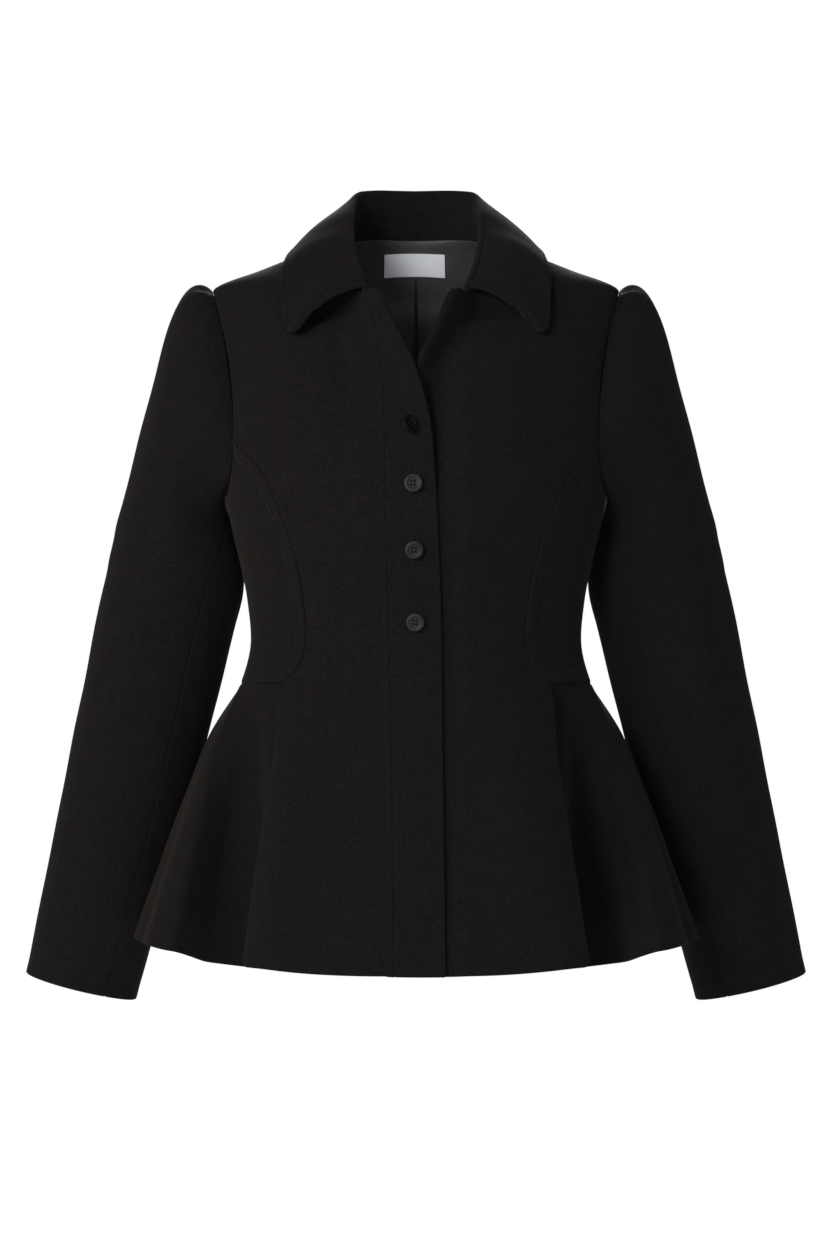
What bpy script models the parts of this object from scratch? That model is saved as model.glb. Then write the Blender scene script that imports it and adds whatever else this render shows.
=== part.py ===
"""A fitted wool riding jacket with a flared peplum, puffed sleeve heads and a small collar.

The jacket stands filled out and hollow, open at the neck, hem and cuffs.  Metres; X runs to the
wearer's left, Y to the wearer's back, Z up.  The origin is between the shoulders at neck height.
Every piece of cloth is a thin wall bent from a flat grid on to the form that its cut gives it.
"""

import math

import bmesh
import bpy
import numpy as np
from mathutils import Matrix, Vector

for old in list(bpy.data.objects):
    bpy.data.objects.remove(old, do_unlink=True)

# Cloth and seams
CLOTH = 0.0020
COLLAR_CLOTH = 0.0024
BAND_CLOTH = 0.0012
LINING_CLOTH = 0.0008
LABEL_CLOTH = 0.0006
SEAM_DRAW = 0.00030
LAY_GAP = 0.00040

# Body sections from hem to neck: how wide and deep the cut stands at each height
ROUNDNESS = 2.25
BODY_SECTIONS = (
    # height, half_width, front, back
    (-0.6400, 0.2620, 0.1720, 0.1720),
    (-0.5600, 0.2400, 0.1530, 0.1500),
    (-0.4800, 0.2100, 0.1340, 0.1240),
    (-0.4300, 0.1850, 0.1210, 0.1050),
    (-0.3890, 0.1525, 0.1110, 0.0900),
    (-0.3520, 0.1439, 0.1070, 0.0840),
    (-0.3170, 0.1474, 0.1110, 0.0870),
    (-0.2850, 0.1535, 0.1210, 0.0920),
    (-0.2350, 0.1640, 0.1310, 0.0990),
    (-0.1770, 0.1700, 0.1220, 0.1030),
    (-0.1200, 0.1725, 0.1040, 0.1010),
    (-0.0466, 0.1780, 0.0770, 0.0850),
    (-0.0300, 0.1385, 0.0635, 0.0770),
    (-0.0150, 0.1025, 0.0500, 0.0710),
    (0.0000, 0.0665, 0.0350, 0.0665),
    (0.0080, 0.0500, 0.0300, 0.0640),
)

# Front panel, waist corner up to the shoulder: its free edge and neckline, then its outer seam
FRONT_ROWS = (
    # edge_x, edge_z, seam_x, seam_z
    (-0.0215, -0.3900, 0.1150, -0.3885),
    (-0.0214, -0.3815, 0.1040, -0.3800),
    (-0.0214, -0.3755, 0.0993, -0.3745),
    (-0.0213, -0.3660, 0.0955, -0.3650),
    (-0.0210, -0.3480, 0.0933, -0.3470),
    (-0.0203, -0.3180, 0.0958, -0.3180),
    (-0.0187, -0.2760, 0.1040, -0.2750),
    (-0.0170, -0.2380, 0.1170, -0.2370),
    (-0.0150, -0.2050, 0.1340, -0.2040),
    (-0.0120, -0.1700, 0.1570, -0.1750),
    (-0.0060, -0.1430, 0.1580, -0.1480),
    (0.0040, -0.1130, 0.1615, -0.1180),
    (0.0175, -0.0850, 0.1660, -0.0900),
    (0.0317, -0.0550, 0.1705, -0.0710),
    (0.0455, -0.0520, 0.1730, -0.0610),
    (0.0560, -0.0310, 0.1752, -0.0545),
    (0.0635, -0.0120, 0.1768, -0.0500),
    (0.0665, 0.0000, 0.1780, -0.0466),
)
FRONT_HEM = (-0.0240, -0.6290, 0.1470, -0.6230)
HEM_BOW = 0.0027
FRONT_CORNER_ROW = 13
FRONT_COLUMNS = (0.0, 0.009, 0.020, 0.034)

# Back panel in the same way, from its centre line
BACK_ROWS = (
    # centre_x, centre_z, seam_x, seam_z
    (0.0000, -0.3900, 0.0980, -0.3890),
    (0.0000, -0.3820, 0.0920, -0.3800),
    (0.0000, -0.3755, 0.0900, -0.3740),
    (0.0000, -0.3660, 0.0883, -0.3650),
    (0.0000, -0.3480, 0.0880, -0.3470),
    (0.0000, -0.3150, 0.0930, -0.3150),
    (0.0000, -0.2750, 0.1040, -0.2750),
    (0.0000, -0.2370, 0.1190, -0.2370),
    (0.0000, -0.2000, 0.1370, -0.2000),
    (0.0000, -0.1600, 0.1580, -0.1620),
    (0.0000, -0.1280, 0.1590, -0.1400),
    (0.0000, -0.0950, 0.1615, -0.1180),
    (0.0000, -0.0600, 0.1660, -0.0900),
    (0.0000, -0.0250, 0.1705, -0.0710),
    (0.0000, 0.0050, 0.1730, -0.0610),
    (0.0250, 0.0045, 0.1752, -0.0545),
    (0.0480, 0.0028, 0.1768, -0.0500),
    (0.0665, 0.0000, 0.1780, -0.0466),
)
BACK_HEM = (0.0000, -0.6300, 0.1300, -0.6260)
ARMHOLE_ROW = 9
UNDERARM_DIP = 0.0545
SIDE_COLUMNS = 11
EDGING_WIDTH = 0.0058
EDGING_TRIM = 0.0070

# Front edge: the right laps the left, and both roll open above the top button
LAP_SINK = 0.0027
ROLL_WIDTH = 0.020
ROLL_RIGHT = (
    # height, lift
    (-0.1900, 0.0000),
    (-0.1500, 0.0020),
    (-0.1250, 0.0038),
    (-0.0900, 0.0070),
    (-0.0550, 0.0090),
    (-0.0300, 0.0040),
    (0.0000, 0.0000),
)
ROLL_LEFT = (
    # height, lift
    (-0.1250, 0.0000),
    (-0.1050, 0.0035),
    (-0.0850, 0.0065),
    (-0.0550, 0.0090),
    (-0.0300, 0.0040),
    (0.0000, 0.0000),
)
PLACKET_DROP = 0.0020
PLACKET_SEAM = (
    # height, seam_x
    (-0.6320, 0.0175),
    (-0.4940, 0.0193),
    (-0.2620, 0.0243),
    (-0.1350, 0.0272),
    (-0.0785, 0.0350),
    (-0.0550, 0.0400),
)

# Peplum: steps down from the waist, the pleat edges of front and back, and the side piece's hem
PEPLUM_STEPS = (0.0, 0.045, 0.115, 0.220, 0.380, 0.580, 0.790, 1.0)
PLEAT_RADIUS = (0.0015, 0.0040)
PLEAT_MEET = 0.0020
PLEAT_LATERAL = (0.0030, -0.0190)
PLEAT_DEPTH = 0.0440
PLEAT_LEVEL = 0.60
FLARE = (
    # step, share
    (0.000, 0.000),
    (0.070, 0.120),
    (0.145, 0.236),
    (0.220, 0.331),
    (0.450, 0.550),
    (0.690, 0.757),
    (1.000, 1.000),
)
PEPLUM_FOLDS = (
    # waist_share, hem_x, hem_y, hem_z
    (0.28, 0.1720, -0.0650, -0.6290),
    (0.41, 0.2080, -0.1000, -0.6162),
    (0.55, 0.2430, -0.0200, -0.6140),
    (0.68, 0.2150, 0.0480, -0.6170),
    (0.81, 0.1960, 0.1070, -0.6220),
    (0.90, 0.1480, 0.1010, -0.6260),
)
PEPLUM_COLUMNS = 24
WAIST_DROP = 0.0016

# Sleeve: rings below the arm, square to a line that leans outward
SLEEVE_LEAN = math.radians(14.0)
SLEEVE_RINGS = (
    # centre_z, centre_x, centre_y, half_width, half_depth, front_seam
    (-0.2400, 0.2104, 0.0300, 0.0498, 0.0620, 150.0),
    (-0.2720, 0.2106, 0.0320, 0.0576, 0.0600, 131.0),
    (-0.3000, 0.2142, 0.0340, 0.0605, 0.0580, 121.0),
    (-0.3250, 0.2202, 0.0370, 0.0603, 0.0565, 120.0),
    (-0.3700, 0.2307, 0.0420, 0.0594, 0.0545, 120.0),
    (-0.4400, 0.2472, 0.0490, 0.0577, 0.0515, 121.0),
    (-0.5100, 0.2636, 0.0560, 0.0553, 0.0480, 121.0),
    (-0.5450, 0.2720, 0.0588, 0.0542, 0.0467, 121.0),
    (-0.5800, 0.2806, 0.0610, 0.0531, 0.0455, 121.0),
    (-0.6200, 0.2904, 0.0628, 0.0515, 0.0443, 121.0),
    (-0.6615, 0.3006, 0.0640, 0.0496, 0.0430, 121.0),
)
SLEEVE_HEAD = (
    # angle, rise, leave, arrive
    (0.0, 36.0, 0.60, 2.40),
    (60.0, 33.0, 0.80, 1.70),
    (90.0, 27.0, 0.85, 1.10),
    (135.0, 14.0, 0.55, 0.80),
    (180.0, 8.0, 0.60, 0.70),
)
HEAD_STEPS = (0.0, 0.06, 0.13, 0.22, 0.35, 0.60)
SET_IN = 0.0015
SET_OUT = 0.0012
HEAD_SEAM_ANGLE = 146.0
BACK_SEAM_ANGLE = -108.0
SEAM_MARGIN = 3.5
GATHERS = 6
GATHER_SPAN = 48.0
GATHER_HEIGHT = 0.0017
GATHER_REACH = 0.10
GATHER_COLUMNS = 25

# Collar, centre back round to the front end: stand seam, roll line and outer edge
ROLL_RADIUS = (0.0034, 0.0022)
COLLAR_LIFT = 0.0055
COLLAR_TIP = 0.0270
COLLAR_STATIONS = (
    # seam_x, seam_y, seam_z, roll_x, roll_y, roll_z, edge_angle, edge_z, fall_angle
    (0.0000, 0.0625, 0.0265, 0.0000, 0.0585, 0.0495, 180.0, -0.0220, 78.0),
    (0.0245, 0.0585, 0.0260, 0.0245, 0.0555, 0.0493, 163.0, -0.0235, 76.0),
    (0.0440, 0.0460, 0.0238, 0.0460, 0.0450, 0.0472, 144.0, -0.0260, 62.0),
    (0.0545, 0.0295, 0.0195, 0.0530, 0.0280, 0.0390, 122.0, -0.0255, 32.0),
    (0.0610, -0.0030, 0.0100, 0.0554, -0.0040, 0.0225, 87.0, -0.0172, 12.0),
    (0.0607, -0.0195, 0.0025, 0.0552, -0.0200, 0.0098, 58.0, -0.0255, 8.0),
    (0.0600, -0.0360, -0.0085, 0.0545, -0.0350, -0.0018, 38.5, -0.0420, 6.0),
    (0.0550, -0.0605, -0.0285, 0.0510, -0.0607, -0.0222, 36.5, -0.0685, 5.0),
    (0.0450, -0.0895, -0.0530, 0.0425, -0.0920, -0.0482, 35.4, -0.1050, 8.0),
)
STAND_STATIONS = 6
STAND_FOOT = 0.0024
COLLAR_COLUMNS = 10
FALL_STEPS = 6

# Back lining and label
LINING_EASE = (0.0026, 0.0060)
LINING_ROWS = (
    # near_z, reach, far_z
    (-0.6040, 0.1040, -0.6000),
    (-0.5110, 0.0900, -0.5100),
    (-0.4420, 0.0830, -0.4420),
    (-0.3900, 0.0780, -0.3890),
    (-0.3480, 0.0704, -0.3470),
    (-0.3150, 0.0744, -0.3150),
    (-0.2750, 0.0830, -0.2750),
    (-0.2370, 0.0950, -0.2370),
    (-0.2000, 0.1100, -0.2000),
    (-0.1600, 0.1260, -0.1620),
    (-0.0950, 0.1290, -0.1180),
    (-0.0600, 0.1330, -0.0900),
    (-0.0240, 0.1300, -0.0660),
    (-0.0050, 0.1180, -0.0470),
    (0.0020, 0.1050, -0.0300),
)
PLEAT_GROOVE = 0.0030
PLEAT_HALF = (0.0010, 0.0036)
LABEL_COLUMNS = (0.0090, 0.0180, 0.0275)
LABEL_HEIGHTS = (-0.0240, -0.0050)

# Buttons on the placket: place of each centre, and how far it is tipped on its thread
BUTTON_RADIUS = 0.0079
BUTTON_THICK = 0.0032
BUTTON_STAND = 0.0018
BUTTON_HOLE = 0.0010
BUTTON_HOLE_RING = 0.0022
BUTTON_SIDES = 18
BUTTON_PLACES = (
    # x, z, turn
    (-0.0058, -0.1720, 44.0),
    (-0.0024, -0.2200, 4.0),
    (-0.0016, -0.2740, 2.0),
    (-0.0006, -0.3360, 0.0),
)

# Colours
WOOL = (0.010, 0.0092, 0.0085)
WOOL_EDGE = (0.011, 0.0100, 0.0092)
SATIN = (0.040, 0.039, 0.041)
LABEL_CREAM = (0.56, 0.58, 0.64)
HORN = (0.022, 0.021, 0.021)


def column(rows, place):
    """One column of a table."""
    return np.array([row[place] for row in rows])


def smooth(knots, values):
    """A smooth curve through the values that never overshoots them (harmonic-mean slopes)."""
    knots = np.asarray(knots, float)
    values = np.asarray(values, float)
    flat = values.reshape(len(knots), -1)
    step = np.diff(knots)[:, None]
    slope = np.diff(flat, axis=0) / step
    product = slope[:-1] * slope[1:]
    total = slope[:-1] + slope[1:]
    tangent = np.zeros_like(flat)
    tangent[0] = slope[0]
    tangent[-1] = slope[-1]
    tangent[1:-1] = np.where(product > 0, 2 * product / np.where(product > 0, total, 1), 0)

    def place(at):
        at = np.clip(np.asarray(at, float), knots[0], knots[-1])
        where = at.ravel()
        span = np.clip(np.searchsorted(knots, where, side="right") - 1, 0, len(knots) - 2)
        length = step[span]
        s = (where - knots[span])[:, None] / length
        rise = (3 - 2 * s) * s**2
        begin = s * (1 - s) ** 2 * length * tangent[span]
        end = -(s**2) * (1 - s) * length * tangent[span + 1]
        found = flat[span] * (1 - rise) + flat[span + 1] * rise + begin + end
        return found.reshape(at.shape + values.shape[1:])

    return place


def ease(value):
    """A step that runs softly from 0 to 1."""
    value = np.clip(value, 0, 1)
    return value * value * (3 - 2 * value)


def unit(vectors):
    """The vectors at length one."""
    return vectors / np.linalg.norm(vectors, axis=-1, keepdims=True)


def spaced(points, count):
    """Evenly spaced places on a smooth curve through the points."""
    knots = np.concatenate(([0], np.cumsum(np.linalg.norm(np.diff(points, axis=0), axis=1))))
    fine = smooth(knots, points)(np.linspace(0, knots[-1], 40 * len(points)))
    run = np.concatenate(([0], np.cumsum(np.linalg.norm(np.diff(fine, axis=0), axis=1))))
    wanted = np.linspace(0, run[-1], count)
    return np.stack([np.interp(wanted, run, fine[:, axis]) for axis in range(3)], axis=-1)


body_size = smooth(column(BODY_SECTIONS, 0), np.array(BODY_SECTIONS)[:, 1:])


def body(angle, z):
    """A place on the body: angle 0 is centre front, 90 degrees the wearer's left, 180 centre back."""
    angle, z = np.broadcast_arrays(np.asarray(angle, float), np.asarray(z, float))
    half, front, back = np.moveaxis(body_size(z), -1, 0)
    side = np.sin(angle)
    ahead = np.cos(angle)
    x = half * np.sign(side) * np.abs(side) ** (2 / ROUNDNESS)
    y = -np.where(ahead >= 0, front, back) * np.sign(ahead) * np.abs(ahead) ** (2 / ROUNDNESS)
    return np.stack((x, y, z), axis=-1)


def body_out(angle, z):
    """The direction straight out of the body there."""
    tiny = 1e-4
    along = body(angle + tiny, z) - body(angle - tiny, z)
    up = body(angle, z + tiny) - body(angle, z - tiny)
    return unit(np.cross(along, up))


def body_angle(x, z, rear=False):
    """The angle at which the body is x to the side at that height."""
    share = np.clip(np.abs(x) / body_size(z)[..., 0], 0, 1)
    angle = np.sign(x) * np.arcsin(share ** (ROUNDNESS / 2))
    return np.pi - angle if rear else angle


front_edge_x = smooth(
    np.concatenate(([FRONT_HEM[1]], column(FRONT_ROWS, 1)[: FRONT_CORNER_ROW + 1])),
    np.concatenate(([FRONT_HEM[0]], column(FRONT_ROWS, 0)[: FRONT_CORNER_ROW + 1])),
)


def front_place(angle, z, laps, out=0.0):
    """A place on a front: on the body, rolled out near its edge, sunk where the other front laps it."""
    table = ROLL_RIGHT if laps else ROLL_LEFT
    base = body(angle, z)
    away = np.maximum(base[..., 0] - front_edge_x(z), 0) / ROLL_WIDTH
    lift = smooth(column(table, 0), column(table, 1))(z) * np.exp(-(away**2))
    under = 0.0 if laps else LAP_SINK
    sink = under * ease((0.046 - base[..., 0]) / 0.017) * ease((-0.090 - z) / 0.032)
    return base + body_out(angle, z) * (lift - sink + out)[..., None]


def back_place(angle, z):
    """A place on the back."""
    return body(angle, z)


def peplum_row(rows, hem, step):
    """The waist row of a panel carried down to one step of the peplum."""
    return tuple(top + (low - top) * step for top, low in zip(rows[0], hem))


def between(limits, share):
    """A size part of the way between two limits."""
    return limits[0] + (limits[1] - limits[0]) * share


def panel(rows, hem, place, rear, start, inner):
    """A front or half back: rows from hem to shoulder, then a pleat edge turned in below the waist.

    Each row starts with columns at fixed distances from its free edge, then goes on evenly.
    """
    lower = [peplum_row(rows, hem, step) for step in reversed(PEPLUM_STEPS[1:])]
    steps = list(reversed(PEPLUM_STEPS[1:])) + [None] * len(rows)
    margin = (0.010, 0.0065, 0.003, 0.0)
    grid = []
    for (edge_x, edge_z, seam_x, seam_z), step in zip(lower + list(rows), steps):
        near = body_angle(np.array(edge_x), np.array(edge_z), rear)
        far = body_angle(np.array(seam_x), np.array(seam_z), rear)
        if seam_x >= rows[-1][2]:
            near = np.array(np.pi / 2)
            far = np.array(np.pi / 2)
        whole = np.linalg.norm(body(far, seam_z) - body(near, edge_z))
        last = 1.0 if step is not None else 1 - margin[0] / whole
        first = np.array(start) / whole
        shares = np.concatenate((first[:-1], np.linspace(first[-1], last, inner)))
        if step is None:
            shares = np.concatenate((shares, 1 - np.array(margin[1:]) / whole))
        bow = HEM_BOW * (step or 0.0) * np.sin(np.pi * shares)
        run = place(near + (far - near) * shares, edge_z + (seam_z - edge_z) * shares - bow)
        if step is not None:
            run = np.concatenate((run, pleat_turn(run, body_out(far, seam_z), step)))
            if step > 0.1:
                run[-1] = pleat_start(rows, hem, place, rear, step) + body_out(far, seam_z) * PLEAT_MEET
        grid.append(run)
    return np.array(grid)


def pleat_start(rows, hem, place, rear, step):
    """Where the side peplum begins: beside the panel's edge at the waist, deep behind it at the hem."""
    edge_x, edge_z, seam_x, seam_z = peplum_row(rows, hem, step)
    far = body_angle(np.array(seam_x), np.array(seam_z), rear)
    near = body_angle(np.array(seam_x - 0.004), np.array(seam_z), rear)
    edge = place(far, np.array(seam_z))
    along = unit(edge - place(near, np.array(seam_z)))
    out = body_out(far, seam_z)
    radius = between(PLEAT_RADIUS, step)
    lateral = radius + between(PLEAT_LATERAL, ease((step - 0.10) / 0.9))
    deep = unit(out * np.array((1.0, 1.0, PLEAT_LEVEL)))
    return edge + along * lateral - deep * PLEAT_DEPTH * step**0.8


def pleat_turn(run, out, step):
    """The pleat edge: an eighth, then a quarter turn round its fold, then the start of its inner leaf."""
    radius = between(PLEAT_RADIUS, step)
    along = unit(run[-1] - run[-2])
    centre = run[-1] - out * radius
    eighth = centre + (out + along) * radius * math.sqrt(0.5)
    quarter = centre + along * radius
    return np.array((eighth, quarter, quarter - out * radius * 0.4))


def draw_in(grid, sides):
    """The named sides of a grid drawn in by the seam gap: b bottom, t top, l first and r last column."""
    grid = grid.copy()
    turned = np.swapaxes(grid, 0, 1)
    views = {"b": grid, "t": grid[::-1], "l": turned, "r": turned[::-1]}
    for side in sides:
        view = views[side]
        view[0] += unit(view[1] - view[0]) * SEAM_DRAW
    return grid


def mirrored(grid):
    """The same piece for the wearer's other side."""
    return grid[:, ::-1] * np.array((-1.0, 1.0, 1.0))


# Scene objects
jacket = bpy.data.collections.new("riding_jacket")
bpy.context.scene.collection.children.link(jacket)
cutters = bpy.data.collections.new("cutters")
bpy.context.scene.collection.children.link(cutters)
root = bpy.data.objects.new("jacket_frame", None)
jacket.objects.link(root)


def material(name, colour, roughness):
    """A plain surface with the piece's colour."""
    made = bpy.data.materials.new(name)
    made.use_nodes = True
    shader = made.node_tree.nodes["Principled BSDF"]
    shader.inputs["Base Color"].default_value = (*colour, 1.0)
    shader.inputs["Roughness"].default_value = roughness
    shader.inputs["Metallic"].default_value = 0.0
    return made


def cloth(name, grid, thick, colour, roughness=0.92, mirror=False):
    """A piece of cloth: a flat grid moved to its place, given its wall on both sides of that surface."""
    rows, columns = grid.shape[:2]
    shape = bmesh.new()
    bmesh.ops.create_grid(shape, x_segments=columns - 1, y_segments=rows - 1, size=1.0)
    for vertex, point in zip(shape.verts, grid.reshape(-1, 3)):
        vertex.co = point
    mesh = bpy.data.meshes.new(name)
    shape.to_mesh(mesh)
    shape.free()
    mesh.shade_smooth()
    mesh.materials.append(material(name, colour, roughness))
    piece = bpy.data.objects.new(name, mesh)
    jacket.objects.link(piece)
    piece.parent = root
    if mirror:
        other = piece.modifiers.new("other half", "MIRROR")
        other.merge_threshold = 0.00005
        other.use_clip = True
    wall = piece.modifiers.new("wall", "SOLIDIFY")
    wall.thickness = thick
    wall.offset = 0.0
    wall.use_even_offset = True
    wall.use_quality_normals = True
    return piece


def pair(name, grid, thick, colour, roughness=0.92):
    """The wearer's left piece and its right twin."""
    cloth(name + "_left", grid, thick, colour, roughness)
    cloth(name + "_right", mirrored(grid), thick, colour, roughness)


# Fronts, back and placket
def laid_front(laps):
    """How a front lies, over or under the other."""
    return lambda angle, z: front_place(angle, z, laps)


front_over = panel(FRONT_ROWS, FRONT_HEM, laid_front(True), False, FRONT_COLUMNS, 5)
front_under = panel(FRONT_ROWS, FRONT_HEM, laid_front(False), False, FRONT_COLUMNS, 5)
cloth("front_right", mirrored(draw_in(front_over, "tr")), CLOTH, WOOL)
cloth("front_left", draw_in(front_under, "tr"), CLOTH, WOOL)

back_half = panel(BACK_ROWS, BACK_HEM, back_place, True, (0.0,), 6)
back_half = back_half[:, ::-1]
cloth("back", draw_in(back_half, "tl"), CLOTH, WOOL, mirror=True)


def placket_grid():
    """The button band: from the right front's edge to its seam, just clear of the front's cloth."""
    rows = [peplum_row(FRONT_ROWS, FRONT_HEM, step) for step in (1.0, 0.79, 0.38)]
    rows += [FRONT_ROWS[place] for place in (0, 3, 4, 5, 6, 7, 8, 9, 10, 11, 12, FRONT_CORNER_ROW)]
    height = column(rows, 1)
    edge = column(rows, 0)[:, None] + SEAM_DRAW
    seam = smooth(column(PLACKET_SEAM, 0), column(PLACKET_SEAM, 1))(height)[:, None]
    height[0] -= PLACKET_DROP
    height[-1] -= 0.0010
    x = edge + (seam - edge) * np.linspace(0, 1, 5)
    z = height[:, None] + np.zeros(5)
    return front_place(body_angle(x, z), z, True, CLOTH / 2 + BAND_CLOTH / 2 + 2 * LAY_GAP)


cloth("placket", mirrored(placket_grid()), BAND_CLOTH, WOOL)


# Side panels with their lapped edges
def seam_path(rows, rear):
    """A panel's outer seam between waist corner and armhole, as angle and height."""
    part = np.array(rows[: ARMHOLE_ROW + 1])
    return np.stack((body_angle(part[:, 2], part[:, 3], rear), part[:, 3]), axis=-1)


def underarm_path(count):
    """The low half of the armhole: half an ellipse from the front seam round to the back seam."""
    start = seam_path(FRONT_ROWS, False)[-1]
    stop = seam_path(BACK_ROWS, True)[-1]
    turn = np.linspace(0, np.pi, count)
    share = (1 - np.cos(turn)) / 2
    path = start + (stop - start) * share[:, None]
    path[:, 1] -= UNDERARM_DIP * np.sin(turn)
    return path


def side_path():
    """The side panel as angle and height: a patch blended between its four edges."""
    left = seam_path(FRONT_ROWS, False)
    right = seam_path(BACK_ROWS, True)
    top = underarm_path(SIDE_COLUMNS)
    u = np.linspace(0, 1, SIDE_COLUMNS)[None, :, None]
    v = ((left[:, 1] - left[0, 1]) / (left[-1, 1] - left[0, 1]))[:, None, None]
    bottom = left[0] + (right[0] - left[0]) * u[0]
    across = left[:, None] * (1 - u) + right[:, None] * u
    along = bottom[None] * (1 - v) + top[None] * v
    low_corners = (1 - v) * ((1 - u) * left[0] + u * right[0])
    high_corners = v * ((1 - u) * left[-1] + u * right[-1])
    return across + along - low_corners - high_corners


side = side_path()
pair("side_panel", draw_in(body(side[..., 0], side[..., 1]), "btlr"), CLOTH, WOOL)


def edging_grid():
    """The lapped edge: a narrow strip down the front seam, along the waist and up the back seam."""
    front = side[::-1, 0]
    waist = side[0, 1:-1]
    rear = side[:, -1]
    path = np.concatenate((front, waist, rear))
    points = body(path[:, 0], path[:, 1])
    out = body_out(path[:, 0], path[:, 1])
    along = unit(np.gradient(points, axis=0))
    inward = unit(np.cross(out, along))
    lie = points + out * (CLOTH / 2 + BAND_CLOTH / 2 + 2 * LAY_GAP)
    grid = np.stack((lie + inward * EDGING_WIDTH, lie + inward * SEAM_DRAW), axis=0)
    grid[:, 0] += along[0] * EDGING_TRIM
    grid[:, -1] -= along[-1] * EDGING_TRIM
    return grid


pair("side_edging", edging_grid(), BAND_CLOTH, WOOL_EDGE)


# Side peplum
flare = smooth(column(FLARE, 0), column(FLARE, 1))


def peplum_grid():
    """The side peplum: a smooth curve through its folds at each step, growing from the waist seam."""
    waist_front = pleat_start(FRONT_ROWS, FRONT_HEM, laid_front(True), False, 0.0)
    waist_back = pleat_start(BACK_ROWS, BACK_HEM, back_place, True, 0.0)
    first = body_angle(waist_front[0], waist_front[2])
    last = body_angle(waist_back[0], waist_back[2], True)
    share = np.array(PEPLUM_FOLDS)[:, 0]
    waist_z = waist_front[2] + (waist_back[2] - waist_front[2]) * share
    waist = body(first + (last - first) * share, waist_z)
    hem = np.array(PEPLUM_FOLDS)[:, 1:]
    grid = []
    for step in PEPLUM_STEPS:
        middle = waist + (hem - waist) * flare(np.array(step))
        middle[:, 2] = waist[:, 2] + (hem[:, 2] - waist[:, 2]) * step
        start = pleat_start(FRONT_ROWS, FRONT_HEM, laid_front(True), False, step)
        stop = pleat_start(BACK_ROWS, BACK_HEM, back_place, True, step)
        grid.append(spaced(np.concatenate((start[None], middle, stop[None])), PEPLUM_COLUMNS))
    grid = np.array(grid[::-1])
    grid[-1, :, 2] -= WAIST_DROP
    return grid


pair("peplum", peplum_grid(), CLOTH, WOOL)


# Sleeves
def armhole_loop():
    """The armhole: down the front seam from the shoulder, under the arm and up the back seam."""
    front = np.array(FRONT_ROWS[ARMHOLE_ROW + 1:][::-1])[:, 2:]
    rear = np.array(BACK_ROWS[ARMHOLE_ROW + 1:])[:, 2:]
    down = np.stack((body_angle(front[:, 0], front[:, 1]), front[:, 1]), axis=-1)
    up = np.stack((body_angle(rear[:, 0], rear[:, 1], True), rear[:, 1]), axis=-1)
    down[0, 0] = np.pi / 2
    up[-1, 0] = np.pi / 2
    low = underarm_path(SIDE_COLUMNS)
    path = np.concatenate((down, low, up))
    points = body(path[:, 0], path[:, 1])
    middle = path + (np.array((np.pi / 2, -0.135)) - path) * 0.02
    inward = body(middle[:, 0], middle[:, 1]) - points
    along = unit(np.gradient(points, axis=0))
    inward -= along * np.sum(inward * along, axis=-1, keepdims=True)
    inward[0] = (0.0, 0.0, -1.0)
    inward[-1] = (0.0, 0.0, -1.0)
    out = body_out(path[:, 0], path[:, 1])
    set_in = points + unit(inward) * SET_IN + out * SET_OUT
    run = np.concatenate(([0], np.cumsum(np.linalg.norm(np.diff(points, axis=0), axis=1))))
    half = len(down) + 6
    angle = np.where(np.arange(len(run)) <= half, 180 * run / run[half],
                     180 + 180 * (run - run[half]) / (run[-1] - run[half]))
    return angle, set_in


armhole_turns, armhole_points = armhole_loop()
sleeve_ring = smooth(-column(SLEEVE_RINGS, 0), np.array(SLEEVE_RINGS))
sleeve_head = smooth(column(SLEEVE_HEAD, 0), np.array(SLEEVE_HEAD)[:, 1:])


def sleeve_tube(turn, height):
    """A place on the sleeve below the arm: turn 0 is outermost, 90 degrees the front."""
    centre_z, centre_x, centre_y, half_width, half_depth, _ = np.moveaxis(sleeve_ring(-height), -1, 0)
    angle = np.radians(turn)
    out = half_width * np.cos(angle)
    x = centre_x + out * math.cos(SLEEVE_LEAN)
    y = centre_y - half_depth * np.sin(angle)
    z = centre_z + out * math.sin(SLEEVE_LEAN)
    return np.stack((x, y, z), axis=-1)


def sleeve_cap(turn, share):
    """A place on the sleeve head: each line leaves the armhole outward and swings down to the arm."""
    begin = np.stack([np.interp(turn % 360.0, armhole_turns, axis) for axis in armhole_points.T], axis=-1)
    end = sleeve_tube(turn, np.full_like(turn, SLEEVE_RINGS[0][0]))
    folded = np.abs((turn + 180.0) % 360.0 - 180.0)
    rise, leave, arrive = np.moveaxis(sleeve_head(folded), -1, 0)
    rise = np.radians(rise)[..., None]
    radial = begin - np.array((0.0, 0.0, -0.135))
    radial[..., 0] = 0.0
    gap = np.linalg.norm(end - begin, axis=-1)
    outward = np.cos(rise) * np.array((1.0, 0.0, 0.0)) + np.sin(rise) * unit(radial)
    start = outward * (gap * leave)[..., None]
    below = sleeve_tube(turn, np.full_like(turn, SLEEVE_RINGS[0][0] - 0.004))
    down = unit(below - end) * (gap * arrive)[..., None]
    s = share[..., None]
    place = begin * (1 - (3 - 2 * s) * s**2) + end * (3 - 2 * s) * s**2
    place = place + start * s * (1 - s) ** 2 - down * s**2 * (1 - s)
    wave = np.cos(np.pi * folded / GATHER_SPAN * GATHERS) * ease((GATHER_SPAN - folded) / 12.0)
    growth = share / GATHER_REACH * np.exp(1 - share / GATHER_REACH)
    swell = place - (begin + end) / 2
    swell[..., 1] *= 0.4
    return place + unit(swell) * (GATHER_HEIGHT * wave * growth)[..., None]


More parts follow.
